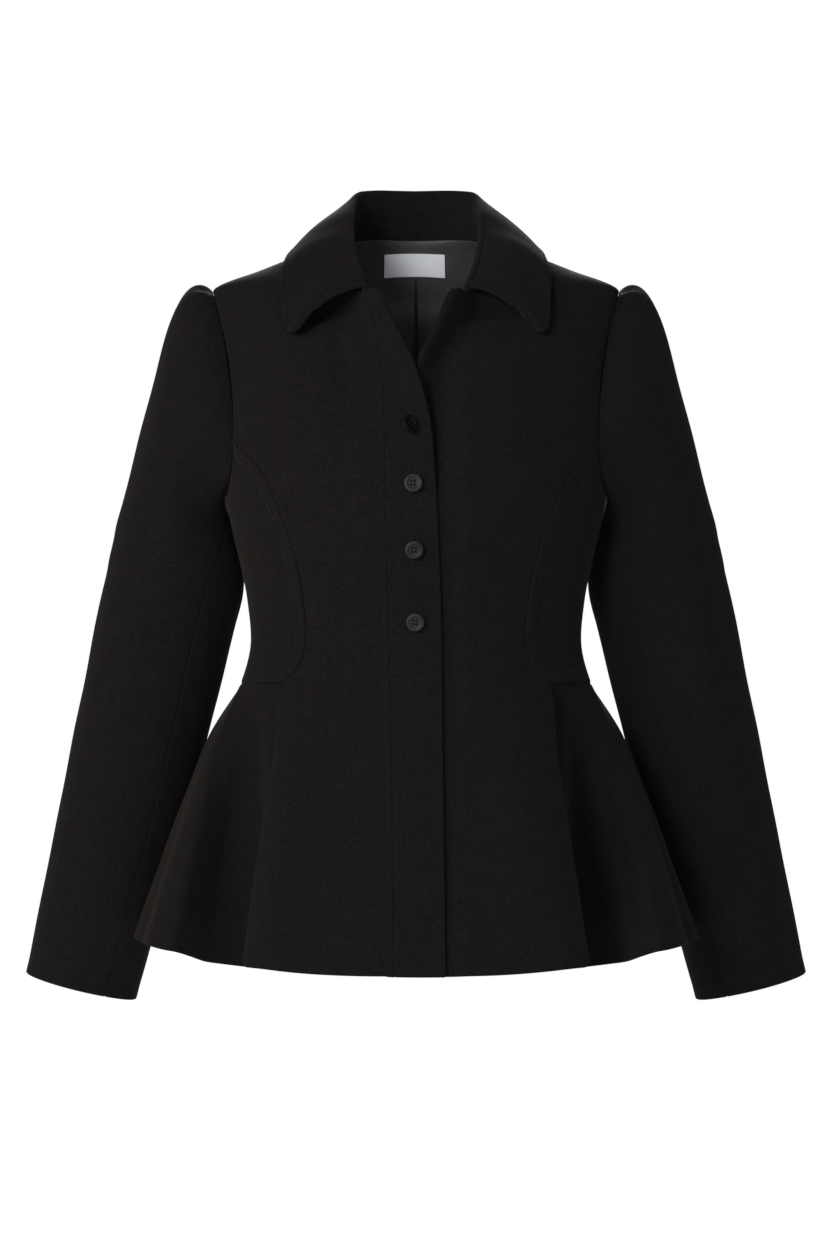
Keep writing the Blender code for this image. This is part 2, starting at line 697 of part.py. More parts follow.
def sleeve_grid(turns_at):
    """A sleeve piece, cuff to armhole; turns_at gives its columns for a front seam angle."""
    rows = []
    for height, seam in zip(column(SLEEVE_RINGS, 0)[::-1], column(SLEEVE_RINGS, 5)[::-1]):
        turns = turns_at(seam)
        rows.append(sleeve_tube(turns, np.full_like(turns, height)))
    for share in HEAD_STEPS[::-1]:
        turns = turns_at(between((HEAD_SEAM_ANGLE, SLEEVE_RINGS[0][5]), share))
        rows.append(sleeve_cap(turns, np.full_like(turns, share)))
    return np.array(rows)


def corners_between(low, high):
    """The armhole's corners between two turns, clear of both by the seam margin."""
    kept = (armhole_turns > low + SEAM_MARGIN) & (armhole_turns < high - SEAM_MARGIN)
    return armhole_turns[kept]


def upper_turns(seam):
    """Columns of the upper sleeve: close together over the gathers, then one at each armhole corner."""
    gathered = np.linspace(-GATHER_SPAN, GATHER_SPAN, GATHER_COLUMNS)
    rear = corners_between(360.0 + BACK_SEAM_ANGLE, 360.0 - GATHER_SPAN) - 360.0
    ahead = corners_between(GATHER_SPAN, HEAD_SEAM_ANGLE)
    share = (np.append(ahead, HEAD_SEAM_ANGLE) - GATHER_SPAN) / (HEAD_SEAM_ANGLE - GATHER_SPAN)
    return np.concatenate(([BACK_SEAM_ANGLE], rear, gathered, GATHER_SPAN + (seam - GATHER_SPAN) * share))


def under_turns(seam):
    """Columns of the under sleeve, one at each armhole corner."""
    stop = 360.0 + BACK_SEAM_ANGLE
    middle = corners_between(HEAD_SEAM_ANGLE, stop)
    turns = np.concatenate(([HEAD_SEAM_ANGLE], middle, [stop]))
    return seam + (stop - seam) * (turns - HEAD_SEAM_ANGLE) / (stop - HEAD_SEAM_ANGLE)


pair("sleeve_upper", draw_in(sleeve_grid(upper_turns)[:, ::-1], "lr"), CLOTH, WOOL)
pair("sleeve_under", draw_in(sleeve_grid(under_turns)[:, ::-1], "lr"), CLOTH, WOOL)


# Collar
def neck_points():
    """The neck edge under each collar station."""
    rear = np.array(BACK_ROWS[-4:])
    behind = [body(body_angle(row[0], row[1], True), row[1]) for row in rear[:3]]
    shoulder = [body(np.pi / 2, 0.0)]
    ahead = [front_place(body_angle(np.array(x), np.array(z)), np.array(z), True)
             for x, z in ((0.0652, -0.0055), (0.0635, -0.0120), (0.0560, -0.0310), (0.0455, -0.0520))]
    middle = [body(body_angle(0.0580, 0.0015, True), 0.0015)]
    return np.array(behind[:3] + middle + shoulder + ahead)


def collar_curves(at):
    """Stand seam, roll, outer edge, fall direction and distance from the end, along the half collar."""
    table = np.array(COLLAR_STATIONS)
    edge = body(np.radians(table[:, 6]), table[:, 7])
    edge = edge + body_out(np.radians(table[:, 6]), table[:, 7]) * COLLAR_LIFT
    run = np.concatenate(([0], np.cumsum(np.linalg.norm(np.diff(edge, axis=0), axis=1))))
    half = np.concatenate((table[:, 0:6], edge, table[:, 8:9]), axis=1)
    found = smooth(run / run[-1], half)(np.abs(at))
    flip = np.where(at < 0, -1.0, 1.0)[:, None] * np.array((1.0, 0, 0)) + np.array((0, 1.0, 1.0))
    seam = found[:, 0:3] * flip
    roll = found[:, 3:6] * flip
    outer = found[:, 6:9] * flip
    width = (1 - np.abs(at)) * run[-1]
    return seam, roll, outer, np.radians(found[:, 9:10]), width


def fall_grid():
    """The collar leaf: up from the stand, round the roll and out to its edge, with rounded points."""
    end = np.array((0.0, 0.018, 0.045, 0.09))
    half = np.concatenate((np.linspace(0, 1 - 0.16, COLLAR_COLUMNS), 1 - end[::-1]))
    at = np.concatenate((-half[:0:-1], half))
    seam, roll, edge, slope, width = collar_curves(at)
    outward = edge - roll
    outward[:, 2] = 0.0
    outward = unit(outward)
    up = np.array((0.0, 0.0, 1.0))
    radius = between(ROLL_RADIUS, np.abs(at))[:, None]
    centre = roll - up * radius + outward * radius
    rows = [seam]
    for turn in (180.0, 130.0, 90.0, 50.0):
        swing = math.radians(turn)
        rows.append(centre + radius * (outward * math.cos(swing) + up * math.sin(swing)))
    top = centre + outward * radius
    length = np.linalg.norm(edge - top, axis=1, keepdims=True)
    control = top + (outward * np.cos(slope) - up * np.sin(slope)) * length / 2
    short = np.clip(1 - width / COLLAR_TIP, 0, 1)[:, None]
    reach = 1 - COLLAR_TIP * (1 - np.sqrt(1 - short**2)) / length
    for step in np.linspace(0, 1, FALL_STEPS):
        share = step * reach
        rows.append(top * (1 - share) ** 2 + control * 2 * share * (1 - share) + edge * share**2)
    return np.array(rows)[::-1]


def stand_grid():
    """The collar stand: a band from the neck edge up to the fall's seam, dying away at the front."""
    neck = neck_points()[:STAND_STATIONS]
    seam = np.array(COLLAR_STATIONS)[:STAND_STATIONS, 0:3]
    rise = unit(seam - neck)
    foot = neck + rise * STAND_FOOT
    head = seam - rise * 4 * SEAM_DRAW
    half = np.concatenate((foot, head), axis=1)
    run = np.concatenate(([0], np.cumsum(np.linalg.norm(np.diff(seam, axis=0), axis=1))))
    at = np.linspace(-1, 1, 19)
    found = smooth(run / run[-1], half)(np.abs(at))
    flip = np.where(at < 0, -1.0, 1.0)[:, None] * np.array((1.0, 0, 0)) + np.array((0, 1.0, 1.0))
    return np.stack((found[:, 0:3] * flip, found[:, 3:6] * flip))[:, ::-1]


cloth("collar_stand", stand_grid(), CLOTH, WOOL)
cloth("collar_fall", fall_grid(), COLLAR_CLOTH, WOOL)


# Back lining with its centre pleat, and the label
def lining_place(x, z, extra=0.0):
    """A place on the lining: inside the back, eased away below the neck and grooved at the pleat."""
    angle = body_angle(x, z, True)
    ease_in = between(LINING_EASE, np.clip((0.002 - z) / 0.026, 0, 1))
    half = between(PLEAT_HALF, ease((LABEL_HEIGHTS[0] - z) / 0.09))
    deep = PLEAT_GROOVE * ease((LABEL_HEIGHTS[0] - z) / 0.012) * ease(1.6 - np.abs(x) / half)
    return body(angle, z) - body_out(angle, z) * (CLOTH / 2 + ease_in - deep + extra)[..., None]


def lining_grid():
    """Half of the lining, from above the hem to below the neck edge."""
    z_near, reach, z_far = np.array(LINING_ROWS).T
    half = between(PLEAT_HALF, ease((LABEL_HEIGHTS[0] - z_near) / 0.09))
    fixed = np.array(LABEL_COLUMNS)
    share = np.array((0.36, 0.70, 1.0))
    wide = fixed[-1] + (reach - fixed[-1])[:, None] * share
    centre = np.zeros((len(reach), 1))
    x = np.concatenate((centre, half[:, None], fixed + centre, wide), axis=1)
    lean = np.concatenate((np.zeros(2 + len(fixed)), share**1.3))
    z = z_near[:, None] + (z_far - z_near)[:, None] * lean
    return lining_place(x, z)


cloth("lining_back", lining_grid(), LINING_CLOTH, SATIN, roughness=0.45, mirror=True)


def label_grid():
    """The bare label, lying on the lining below the neck."""
    half = np.array(LABEL_COLUMNS)
    x, z = np.meshgrid(np.concatenate((half[::-1], [0.0], -half)), np.array(LABEL_HEIGHTS))
    lie = LINING_CLOTH / 2 + LABEL_CLOTH / 2 + 1.5 * LAY_GAP
    points = lining_place(np.abs(x), z, lie)
    points[..., 0] *= np.where(x < 0, -1.0, 1.0)
    return points


cloth("label", label_grid()[:, ::-1], LABEL_CLOTH, LABEL_CREAM, roughness=0.7)


# Buttons
def hole_cutter():
    """Four small round pins that cut the thread holes."""
    shape = bmesh.new()
    for turn in range(4):
        swing = math.radians(45.0 + 90.0 * turn)
        middle = Vector((math.cos(swing), math.sin(swing), 0.0)) * BUTTON_HOLE_RING
        bmesh.ops.create_cone(shape, cap_ends=True, segments=6, radius1=BUTTON_HOLE, radius2=BUTTON_HOLE,
                              depth=0.02, matrix=Matrix.Translation(middle))
    mesh = bpy.data.meshes.new("button_holes")
    shape.to_mesh(mesh)
    shape.free()
    cutter = bpy.data.objects.new("button_holes", mesh)
    cutters.objects.link(cutter)
    cutter.hide_render = True
    cutter.display_type = "WIRE"
    return cutter


def button_profile():
    """Half a section of a button, from its centre out over the rim and back underneath."""
    rim = BUTTON_RADIUS
    thick = BUTTON_THICK
    return (
        (0.0, thick * 0.68),
        (rim * 0.50, thick * 0.68),
        (rim * 0.64, thick * 0.94),
        (rim * 0.82, thick),
        (rim * 0.96, thick * 0.80),
        (rim, thick * 0.50),
        (rim * 0.93, thick * 0.16),
        (rim * 0.74, 0.0),
        (0.0, 0.0),
    )


def button(name, x, z, turn):
    """A turned button lying on the placket, tipped about its upright line."""
    mesh = bpy.data.meshes.new(name)
    points = [(radius, 0.0, height) for radius, height in button_profile()]
    mesh.from_pydata(points, [(place, place + 1) for place in range(len(points) - 1)], [])
    mesh.materials.append(material(name, HORN, 0.35))
    piece = bpy.data.objects.new(name, mesh)
    jacket.objects.link(piece)
    piece.parent = root
    turned = piece.modifiers.new("turned", "SCREW")
    turned.steps = BUTTON_SIDES
    turned.render_steps = BUTTON_SIDES
    turned.use_merge_vertices = True
    turned.merge_threshold = 0.00001
    angle = body_angle(np.array(-x), np.array(z))
    seat = front_place(angle, np.array(z), True, CLOTH / 2 + BAND_CLOTH + BUTTON_STAND)
    out = body_out(angle, np.array(z))
    facing = Vector((-out[0], out[1], out[2])).to_track_quat("Z", "Y")
    tip = math.radians(turn)
    lift = BUTTON_RADIUS * math.sin(tip)
    place = Vector((-seat[0], seat[1], seat[2])) + facing @ Vector((0.0, 0.0, lift))
    piece.rotation_mode = "QUATERNION"
    piece.rotation_quaternion = Matrix.Rotation(tip, 3, "Z").to_quaternion() @ facing
    piece.location = place
    holes = hole_cutter()
    holes.name = name + "_holes"
    holes.rotation_mode = "QUATERNION"
    holes.rotation_quaternion = piece.rotation_quaternion
    holes.location = place
    cut = piece.modifiers.new("thread holes", "BOOLEAN")
    cut.operation = "DIFFERENCE"
    cut.object = holes


for number, (button_x, button_z, button_turn) in enumerate(BUTTON_PLACES, 1):
    button(f"button_{number}", button_x, button_z, button_turn)
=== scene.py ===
"""Looks of a fitted wool riding jacket: each piece of cloth is a thin shell with its seams, folds and edges.

Metres; X runs to the wearer's left, Y to the wearer's back, Z up, and the origin is between the shoulders.
"""

import math

import bpy
import numpy as np
from mathutils import Matrix, Vector


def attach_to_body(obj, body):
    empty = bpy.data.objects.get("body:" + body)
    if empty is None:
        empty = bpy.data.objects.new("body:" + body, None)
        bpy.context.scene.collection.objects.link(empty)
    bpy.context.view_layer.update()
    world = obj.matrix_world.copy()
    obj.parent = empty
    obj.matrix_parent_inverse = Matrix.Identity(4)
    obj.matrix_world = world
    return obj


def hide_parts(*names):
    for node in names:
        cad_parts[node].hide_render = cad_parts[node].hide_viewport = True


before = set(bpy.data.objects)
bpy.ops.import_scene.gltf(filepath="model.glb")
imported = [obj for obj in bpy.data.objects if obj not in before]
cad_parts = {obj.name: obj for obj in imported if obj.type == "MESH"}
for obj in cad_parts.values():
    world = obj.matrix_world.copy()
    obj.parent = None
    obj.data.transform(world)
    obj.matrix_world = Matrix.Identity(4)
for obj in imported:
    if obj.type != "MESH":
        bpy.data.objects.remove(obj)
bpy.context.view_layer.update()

# Cloth and seams
CLOTH = 0.0020
COLLAR_CLOTH = 0.0024
BAND_CLOTH = 0.0012
BAND_DITCH = np.array((0.0005, 0.0010, 0.0016, 0.0024, 0.0036, 0.0052, 0.0070))
BAND_SWELL = 0.00072
BAND_SWELL_ENDS = (0.0014, 0.0050)  # rise beside the seam, fall at the far end
LINING_CLOTH = 0.0008
LABEL_CLOTH = 0.0006
LAY_SINK = 0.0002
SEAM_ROUND = 0.0016
SEAM_SINK = 0.12
ROW_PITCH = 0.0036
HEM_RIM = np.array((0.0, 0.0005, 0.0013, 0.0028))
HEM_FIRST_ROW = 0.0050
SHOULDER_RIM = np.array((0.0022, 0.0012, 0.0005, 0.0))
CORNER_ROWS = 3

# Turned edges: extra half thickness, and how far in it reaches
HEM_TURN = (0.0004, 0.0060)
CUFF_TURN = (0.0005, 0.0080)
COLLAR_TURN = (0.0006, 0.0045)

# Body sections from hem to neck
ROUNDNESS = 2.25
BODY_SECTIONS = (
    # height, half_width, front, back
    (-0.6400, 0.2620, 0.1720, 0.1720),
    (-0.5600, 0.2400, 0.1530, 0.1500),
    (-0.4800, 0.2100, 0.1340, 0.1240),
    (-0.4300, 0.1850, 0.1210, 0.1050),
    (-0.3890, 0.1525, 0.1110, 0.0900),
    (-0.3520, 0.1439, 0.1070, 0.0840),
    (-0.3170, 0.1474, 0.1110, 0.0870),
    (-0.2850, 0.1535, 0.1210, 0.0920),
    (-0.2350, 0.1640, 0.1310, 0.0990),
    (-0.1770, 0.1700, 0.1220, 0.1030),
    (-0.1200, 0.1725, 0.1040, 0.1010),
    (-0.0466, 0.1780, 0.0770, 0.0850),
    (-0.0300, 0.1385, 0.0635, 0.0770),
    (-0.0150, 0.1025, 0.0500, 0.0710),
    (0.0000, 0.0665, 0.0350, 0.0665),
    (0.0080, 0.0500, 0.0300, 0.0640),
)

# Front panel, waist corner up to the shoulder: its free edge and neckline, then its outer seam
FRONT_ROWS = (
    # edge_x, edge_z, seam_x, seam_z
    (-0.0215, -0.3900, 0.1150, -0.3885),
    (-0.0214, -0.3815, 0.1040, -0.3800),
    (-0.0214, -0.3755, 0.0993, -0.3745),
    (-0.0213, -0.3660, 0.0955, -0.3650),
    (-0.0210, -0.3480, 0.0933, -0.3470),
    (-0.0203, -0.3180, 0.0958, -0.3180),
    (-0.0187, -0.2760, 0.1040, -0.2750),
    (-0.0170, -0.2380, 0.1170, -0.2370),
    (-0.0150, -0.2050, 0.1340, -0.2040),
    (-0.0120, -0.1700, 0.1570, -0.1750),
    (-0.0060, -0.1430, 0.1580, -0.1480),
    (0.0040, -0.1130, 0.1615, -0.1180),
    (0.0175, -0.0850, 0.1660, -0.0900),
    (0.0317, -0.0550, 0.1705, -0.0710),
    (0.0455, -0.0520, 0.1730, -0.0610),
    (0.0560, -0.0310, 0.1752, -0.0545),
    (0.0635, -0.0120, 0.1768, -0.0500),
    (0.0665, 0.0000, 0.1780, -0.0466),
)
FRONT_HEM = (-0.0240, -0.6290, 0.1470, -0.6230)
HEM_BOW = 0.0027
NECK_CORNER_ROW = 13

# Back panel in the same way, from its centre line
BACK_ROWS = (
    # centre_x, centre_z, seam_x, seam_z
    (0.0000, -0.3900, 0.0980, -0.3890),
    (0.0000, -0.3820, 0.0920, -0.3800),
    (0.0000, -0.3755, 0.0900, -0.3740),
    (0.0000, -0.3660, 0.0883, -0.3650),
    (0.0000, -0.3480, 0.0880, -0.3470),
    (0.0000, -0.3150, 0.0930, -0.3150),
    (0.0000, -0.2750, 0.1040, -0.2750),
    (0.0000, -0.2370, 0.1190, -0.2370),
    (0.0000, -0.2000, 0.1370, -0.2000),
    (0.0000, -0.1600, 0.1580, -0.1620),
    (0.0000, -0.1280, 0.1590, -0.1400),
    (0.0000, -0.0950, 0.1615, -0.1180),
    (0.0000, -0.0600, 0.1660, -0.0900),
    (0.0000, -0.0250, 0.1705, -0.0710),
    (0.0000, 0.0050, 0.1730, -0.0610),
    (0.0250, 0.0045, 0.1752, -0.0545),
    (0.0480, 0.0028, 0.1768, -0.0500),
    (0.0665, 0.0000, 0.1780, -0.0466),
)
BACK_HEM = (0.0000, -0.6300, 0.1300, -0.6260)
ARMHOLE_ROW = 9
UNDERARM_DIP = 0.0545

# Front edge: the right laps the left, and both roll open above the top button
LAP_SINK = 0.0027
LAP_REACH = (0.046, -0.017)  # x where the sinking begins, its width
LAP_TOP = (-0.090, -0.032)  # height where it begins, its width
EDGE_SMOOTH = 0.0090
EDGE_DOUBLE = {True: (0.00025, 0.0010), False: (0.00025, 0.0018)}  # low and in the neck opening
EDGE_DOUBLE_TOP = (-0.150, 0.040)  # height where it grows, its width
EDGE_DOUBLE_WIDTH = 0.0070
ROLL_LEVEL = 0.15
ROLL_WIDTH = 0.020
ROLL_RIGHT = (
    # height, lift
    (-0.1900, 0.0000),
    (-0.1650, 0.0014),
    (-0.1450, 0.0052),
    (-0.1250, 0.0076),
    (-0.0900, 0.0086),
    (-0.0550, 0.0090),
    (-0.0300, 0.0040),
    (0.0000, 0.0000),
)
CURL_WIDTH = 0.0130
ROLL_LEFT = (
    # height, lift
    (-0.1300, 0.0000),
    (-0.1150, 0.0070),
    (-0.1000, 0.0122),
    (-0.0850, 0.0146),
    (-0.0550, 0.0160),
    (-0.0300, 0.0060),
    (0.0000, 0.0000),
)
PLACKET_DROP = 0.0020
PLACKET_TOP = 0.0010
PLACKET_INSET = 0.0003
PLACKET_THIN = (0.0004, 0.020)  # how much thinner at the seam, over what width
PLACKET_SEAM = (
    # height, seam_x
    (-0.6320, 0.0175),
    (-0.4940, 0.0193),
    (-0.2620, 0.0243),
    (-0.1350, 0.0272),
    (-0.0785, 0.0350),
    (-0.0550, 0.0400),
)

# Columns of a panel: from its free edge, to its seam, and round its pleat edge below the waist
EDGE_COLUMNS = np.array((0, 0.5, 1.2, 2.2, 3.6, 5.5, 8, 11, 15, 20, 26, 33)) / 1000
BACK_COLUMNS = np.array((0, 1.2, 4, 8, 14)) / 1000
SEAM_COLUMNS = np.array((10, 8, 6.4, 5.1, 4.1, 3.2, 2.5, 1.9, 1.4, 1.0, 0.65, 0.35, 0.13, 0)) / 1000
PLEAT_COLUMNS = np.array((6, 3.2, 1.3, 0)) / 1000
PLEAT_ARC = np.radians((15, 30, 45, 60, 75, 90))
PLEAT_LEAF = np.array((0.25, 0.5, 0.75, 1.0))
INNER_COLUMNS = 30

# Peplum: pleat edges of front and back, from waist to hem, and the folds of the side piece's hem
PLEAT_RADIUS = (0.0015, 0.0040)
PLEAT_MEET = 0.0020
PLEAT_LATERAL = (-0.0040, -0.0190)
PLEAT_DEPTH = (0.0018, 0.0560)
PLEAT_LEVEL = 0.60
PLEAT_DROOP = 0.0085
PLEAT_CURVE = 0.032
PLEAT_PROBE = 0.004
PLEAT_SHIFT = (0.10, 0.90)  # step where it begins, its width
PLEAT_DEEPEN = 0.65
PLEAT_GROWTH = 0.06
LEAF_GROWTH = 0.12
LEAF_BEND = (0.4, 0.5)  # depth at the waist in fold radii, share of the leaf at the hem
DROOP_GROWTH = 0.25
HEM_CORNER = 0.0045
HEM_CORNER_FADE = 20.0
FLARE = (
    # step, share
    (0.000, 0.000),
    (0.070, 0.120),
    (0.145, 0.236),
    (0.220, 0.331),
    (0.450, 0.550),
    (0.690, 0.757),
    (1.000, 1.000),
)
PEPLUM_FOLDS = (
    # waist_share, hem_x, hem_y, hem_z
    (0.28, 0.1720, -0.0650, -0.6280),
    (0.41, 0.2080, -0.1000, -0.6150),
    (0.55, 0.2430, -0.0200, -0.6115),
    (0.68, 0.2150, 0.0480, -0.6170),
    (0.81, 0.1960, 0.1070, -0.6220),
    (0.90, 0.1480, 0.1010, -0.6260),
)
PEPLUM_LENGTH = 0.235
PEPLUM_ROWS = 70
PEPLUM_GROWTH = 0.2
WAIST_DROP = 0.0016
WAIST_SOFT = 0.03
WAIST_TUCK = (0.0003, 0.0030)  # inward, then up with each hidden row
PEPLUM_VALLEY = (0.055, 0.0205)  # width as a share of the row, depth
VALLEY_PLACE = 0.70
VALLEY_DROP = 0.09
VALLEY_POWER = 0.8
CREASE_POWER = 1.3

# Sleeve: rings below the arm, square to a line that leans outward, and the gathered head
SLEEVE_LEAN = math.radians(14.0)
SLEEVE_RINGS = (
    # centre_z, centre_x, centre_y, half_width, half_depth, front_seam
    (-0.2400, 0.2104, 0.0300, 0.0498, 0.0620, 150.0),
    (-0.2720, 0.2106, 0.0320, 0.0576, 0.0600, 131.0),
    (-0.3000, 0.2142, 0.0340, 0.0605, 0.0580, 121.0),
    (-0.3250, 0.2202, 0.0370, 0.0603, 0.0565, 120.0),
    (-0.3700, 0.2307, 0.0420, 0.0594, 0.0545, 120.0),
    (-0.4400, 0.2472, 0.0490, 0.0577, 0.0515, 121.0),
    (-0.5100, 0.2636, 0.0560, 0.0553, 0.0480, 121.0),
    (-0.5450, 0.2720, 0.0588, 0.0542, 0.0467, 121.0),
    (-0.5800, 0.2806, 0.0610, 0.0531, 0.0455, 121.0),
    (-0.6200, 0.2904, 0.0628, 0.0515, 0.0443, 121.0),
    (-0.6615, 0.3006, 0.0640, 0.0496, 0.0430, 121.0),
)
SLEEVE_HEAD = (
    # angle, rise, leave, arrive
    (0.0, 36.0, 0.60, 2.40),
    (60.0, 33.0, 0.80, 1.70),
    (90.0, 27.0, 0.85, 1.10),
    (135.0, 14.0, 0.55, 0.80),
    (180.0, 8.0, 0.60, 0.70),
)
ARM_CENTRE = -0.135
SET_IN = 0.0004
SET_OUT = 0.0010
HEAD_SEAM_ANGLE = 146.0
BACK_SEAM_ANGLE = -108.0
GATHERS = 6
GATHER_SPAN = 48.0
GATHER_HEIGHT = 0.0017
GATHER_FADE = 12.0
GATHER_REACH = 0.10
HEAD_FLATTEN = 0.4
SLEEVE_SOFT = 0.03
SLEEVE_PROBE = 0.004
UNDERARM_PLACES = 81
UNDERARM_LOWEST = 48
ARM_PROBE = 0.02
SLEEVE_COUNTS = (112, 46)  # rows below the arm, rows of the head

# Collar, centre back round to the front end: stand seam, roll line and outer edge
ROLL_RADIUS = (0.0034, 0.0022)  # at centre back, at the front end
COLLAR_LIFT = 0.0055
COLLAR_TIP = 0.0270
LEAF_LIFT = 0.0060
LEAF_LIFT_WIDTH = 0.030
EDGE_LIFT = 0.0035
EDGE_LIFT_WIDTH = 0.060
END_SINK = 0.0050
END_SINK_WIDTH = 0.0065
COLLAR_RIPPLE = 1.4
COLLAR_SOFT = 0.03
COLLAR_THINNEST = 0.5
COLLAR_STATIONS = (
    # seam_x, seam_y, seam_z, roll_x, roll_y, roll_z, edge_angle, edge_z, fall_angle
    (0.0000, 0.0625, 0.0265, 0.0000, 0.0585, 0.0495, 180.0, -0.0220, 78.0),
    (0.0245, 0.0585, 0.0260, 0.0245, 0.0555, 0.0493, 163.0, -0.0235, 76.0),
    (0.0440, 0.0460, 0.0238, 0.0460, 0.0450, 0.0472, 144.0, -0.0260, 62.0),
    (0.0545, 0.0295, 0.0195, 0.0530, 0.0280, 0.0390, 122.0, -0.0255, 32.0),
    (0.0610, -0.0030, 0.0100, 0.0554, -0.0040, 0.0225, 87.0, -0.0172, 12.0),
    (0.0607, -0.0195, 0.0025, 0.0552, -0.0200, 0.0098, 58.0, -0.0255, 8.0),
    (0.0600, -0.0360, -0.0085, 0.0545, -0.0350, -0.0018, 38.5, -0.0420, 6.0),
    (0.0550, -0.0605, -0.0285, 0.0510, -0.0607, -0.0222, 36.5, -0.0685, 5.0),
    (0.0450, -0.0895, -0.0530, 0.0425, -0.0920, -0.0482, 35.4, -0.1050, 8.0),
)
STAND_STATIONS = 6
STAND_FOOT = 0.0016
STAND_HEAD = 0.0003
STAND_THINNEST = 0.55
NECK_FRONT = (
    # x, z
    (0.0652, -0.0055),
    (0.0635, -0.0120),
    (0.0560, -0.0310),
    (0.0455, -0.0520),
)
NECK_SIDE = (0.0580, 0.0015)  # x, height

# Back lining and label
LINING_EASE = (
    # depth below the neck, ease
    (-0.006, 0.0015),
    (0.004, 0.0020),
    (0.026, 0.0056),
    (0.060, 0.0110),
)
LINING_ROWS = (
    # near_z, reach, far_z
    (-0.6040, 0.1040, -0.6000),
    (-0.5110, 0.0900, -0.5100),
    (-0.4420, 0.0830, -0.4420),
    (-0.3900, 0.0780, -0.3890),
    (-0.3480, 0.0704, -0.3470),
    (-0.3150, 0.0744, -0.3150),
    (-0.2750, 0.0830, -0.2750),
    (-0.2370, 0.0950, -0.2370),
    (-0.2000, 0.1100, -0.2000),
    (-0.1600, 0.1260, -0.1620),
    (-0.0950, 0.1290, -0.1180),
    (-0.0600, 0.1330, -0.0900),
    (-0.0240, 0.1300, -0.0660),
    (-0.0050, 0.1180, -0.0400),
    (0.0058, 0.1050, -0.0195),
)
LINING_UPRIGHT = 0.0032
LINING_SLOPE = (-0.026, -0.040)  # height where it begins to slope, its width
LINING_WAVE = (0.0007, 190.0, 9.0)  # height, radians per metre across and up
LINING_WAVE_FADE = (0.010, -0.050, 0.010)  # start below the label, its width, width beside the pleat
PLEAT_GROOVE = 0.0010
PLEAT_HALF = (0.0008, 0.0018)  # under the label, further down
PLEAT_WIDEN = -0.09
PLEAT_BEGIN = -0.012
PLEAT_GAP = 1.6
LABEL_HALF = 0.0277
LABEL_HEIGHTS = (-0.0254, -0.0056)
LABEL_SHIFT = -0.0013
LABEL_BOW = 0.0012
LABEL_GAP = 0.0003
LABEL_WAVE = (0.00025, 170.0, 230.0)  # height, radians per metre across and up
LABEL_SEAM = 0.0011

# Buttons on the placket: place of each centre, and how far it is tipped on its thread
BUTTON_RADIUS = 0.0079
BUTTON_THICK = 0.0032
BUTTON_STAND = 0.0018
BUTTON_HOLE = 0.0010
BUTTON_HOLE_RING = 0.0022
BUTTON_TURNS = 96
BUTTON_RINGS = (46, 40)  # on the face, round the rim and the back
BUTTON_LATHE = (0.00005, 9000.0)  # height, radians per metre
BUTTON_WORN = 0.35
FACE_HEIGHT = 0.6
PIT_DEPTH = 0.55
PIT_EDGE = (1.12, 0.34)  # outer edge and width, in hole radii
STRAND_RADIUS = 0.00024
STRAND_REACH = 1.12
STRAND_OFFSETS = (-0.00016, 0.00022, -0.00020, 0.00018)
STRAND_BOW = (0.00030, 0.0011)  # rise in the middle, dip into the holes
SHANK_RADIUS = 0.00085
SHANK_ENDS = (0.0004, 0.0006)  # inside the button, under the face of the placket
BUTTON_PROFILE = np.array((
    # share of the radius, share of the thickness
    (0.000, 0.680),
    (0.400, 0.680),
    (0.520, 0.700),
    (0.600, 0.840),
    (0.660, 0.950),
    (0.740, 0.995),
    (0.820, 1.000),
    (0.900, 0.950),
    (0.960, 0.820),
    (0.990, 0.660),
    (1.000, 0.500),
    (0.985, 0.320),
    (0.930, 0.150),
    (0.840, 0.040),
    (0.740, 0.000),
    (0.400, 0.000),
    (0.000, 0.000),
))
BUTTON_PLACES = (
    # x, z, turn
    (-0.0058, -0.1720, 44.0),
    (-0.0024, -0.2200, 4.0),
    (-0.0016, -0.2740, 2.0),
    (-0.0006, -0.3360, 0.0),
)

# Folds pressed into the cloth: from one place to another, how wide and how high (a trough is below zero)
FRONT_CREASES = {
    True: (
        # x0, z0, x1, z1, width, height
        (0.1060, -0.0820, 0.0480, -0.0500, 0.0155, -0.0170),
        (0.0680, -0.0850, 0.0560, -0.1900, 0.0095, -0.0038),
        (0.0980, -0.1150, 0.0850, -0.1850, 0.0200, 0.0014),
        (0.0600, -0.2500, 0.0300, -0.3500, 0.0180, 0.0008),
        (0.1140, -0.4300, 0.1270, -0.6300, 0.0210, 0.0030),
        (0.0720, -0.4300, 0.0900, -0.6300, 0.0260, -0.0030),
    ),
    False: (
        # x0, z0, x1, z1, width, height
        (0.1060, -0.0780, 0.0420, -0.0520, 0.0165, -0.0170),
        (0.0520, -0.0560, 0.0130, -0.1320, 0.0100, -0.0120),
        (0.0070, -0.1150, 0.0225, -0.2200, 0.0075, -0.0065),
        (0.0850, -0.1150, 0.0760, -0.1850, 0.0200, 0.0012),
        (0.0700, -0.2300, 0.0400, -0.3400, 0.0180, 0.0008),
        (0.0830, -0.4200, 0.1060, -0.6300, 0.0250, 0.0034),
        (0.0480, -0.4400, 0.0550, -0.6200, 0.0220, -0.0012),
    ),
}
BACK_CREASES = (
    # x0, z0, x1, z1, width, height
    (0.0800, -0.0600, 0.1150, -0.1500, 0.0160, -0.0022),
    (0.0300, -0.3500, 0.0700, -0.4100, 0.0150, -0.0014),
    (0.0500, -0.4500, 0.0650, -0.6200, 0.0220, 0.0018),
    (0.0150, -0.4700, 0.0180, -0.6200, 0.0200, -0.0014),
)
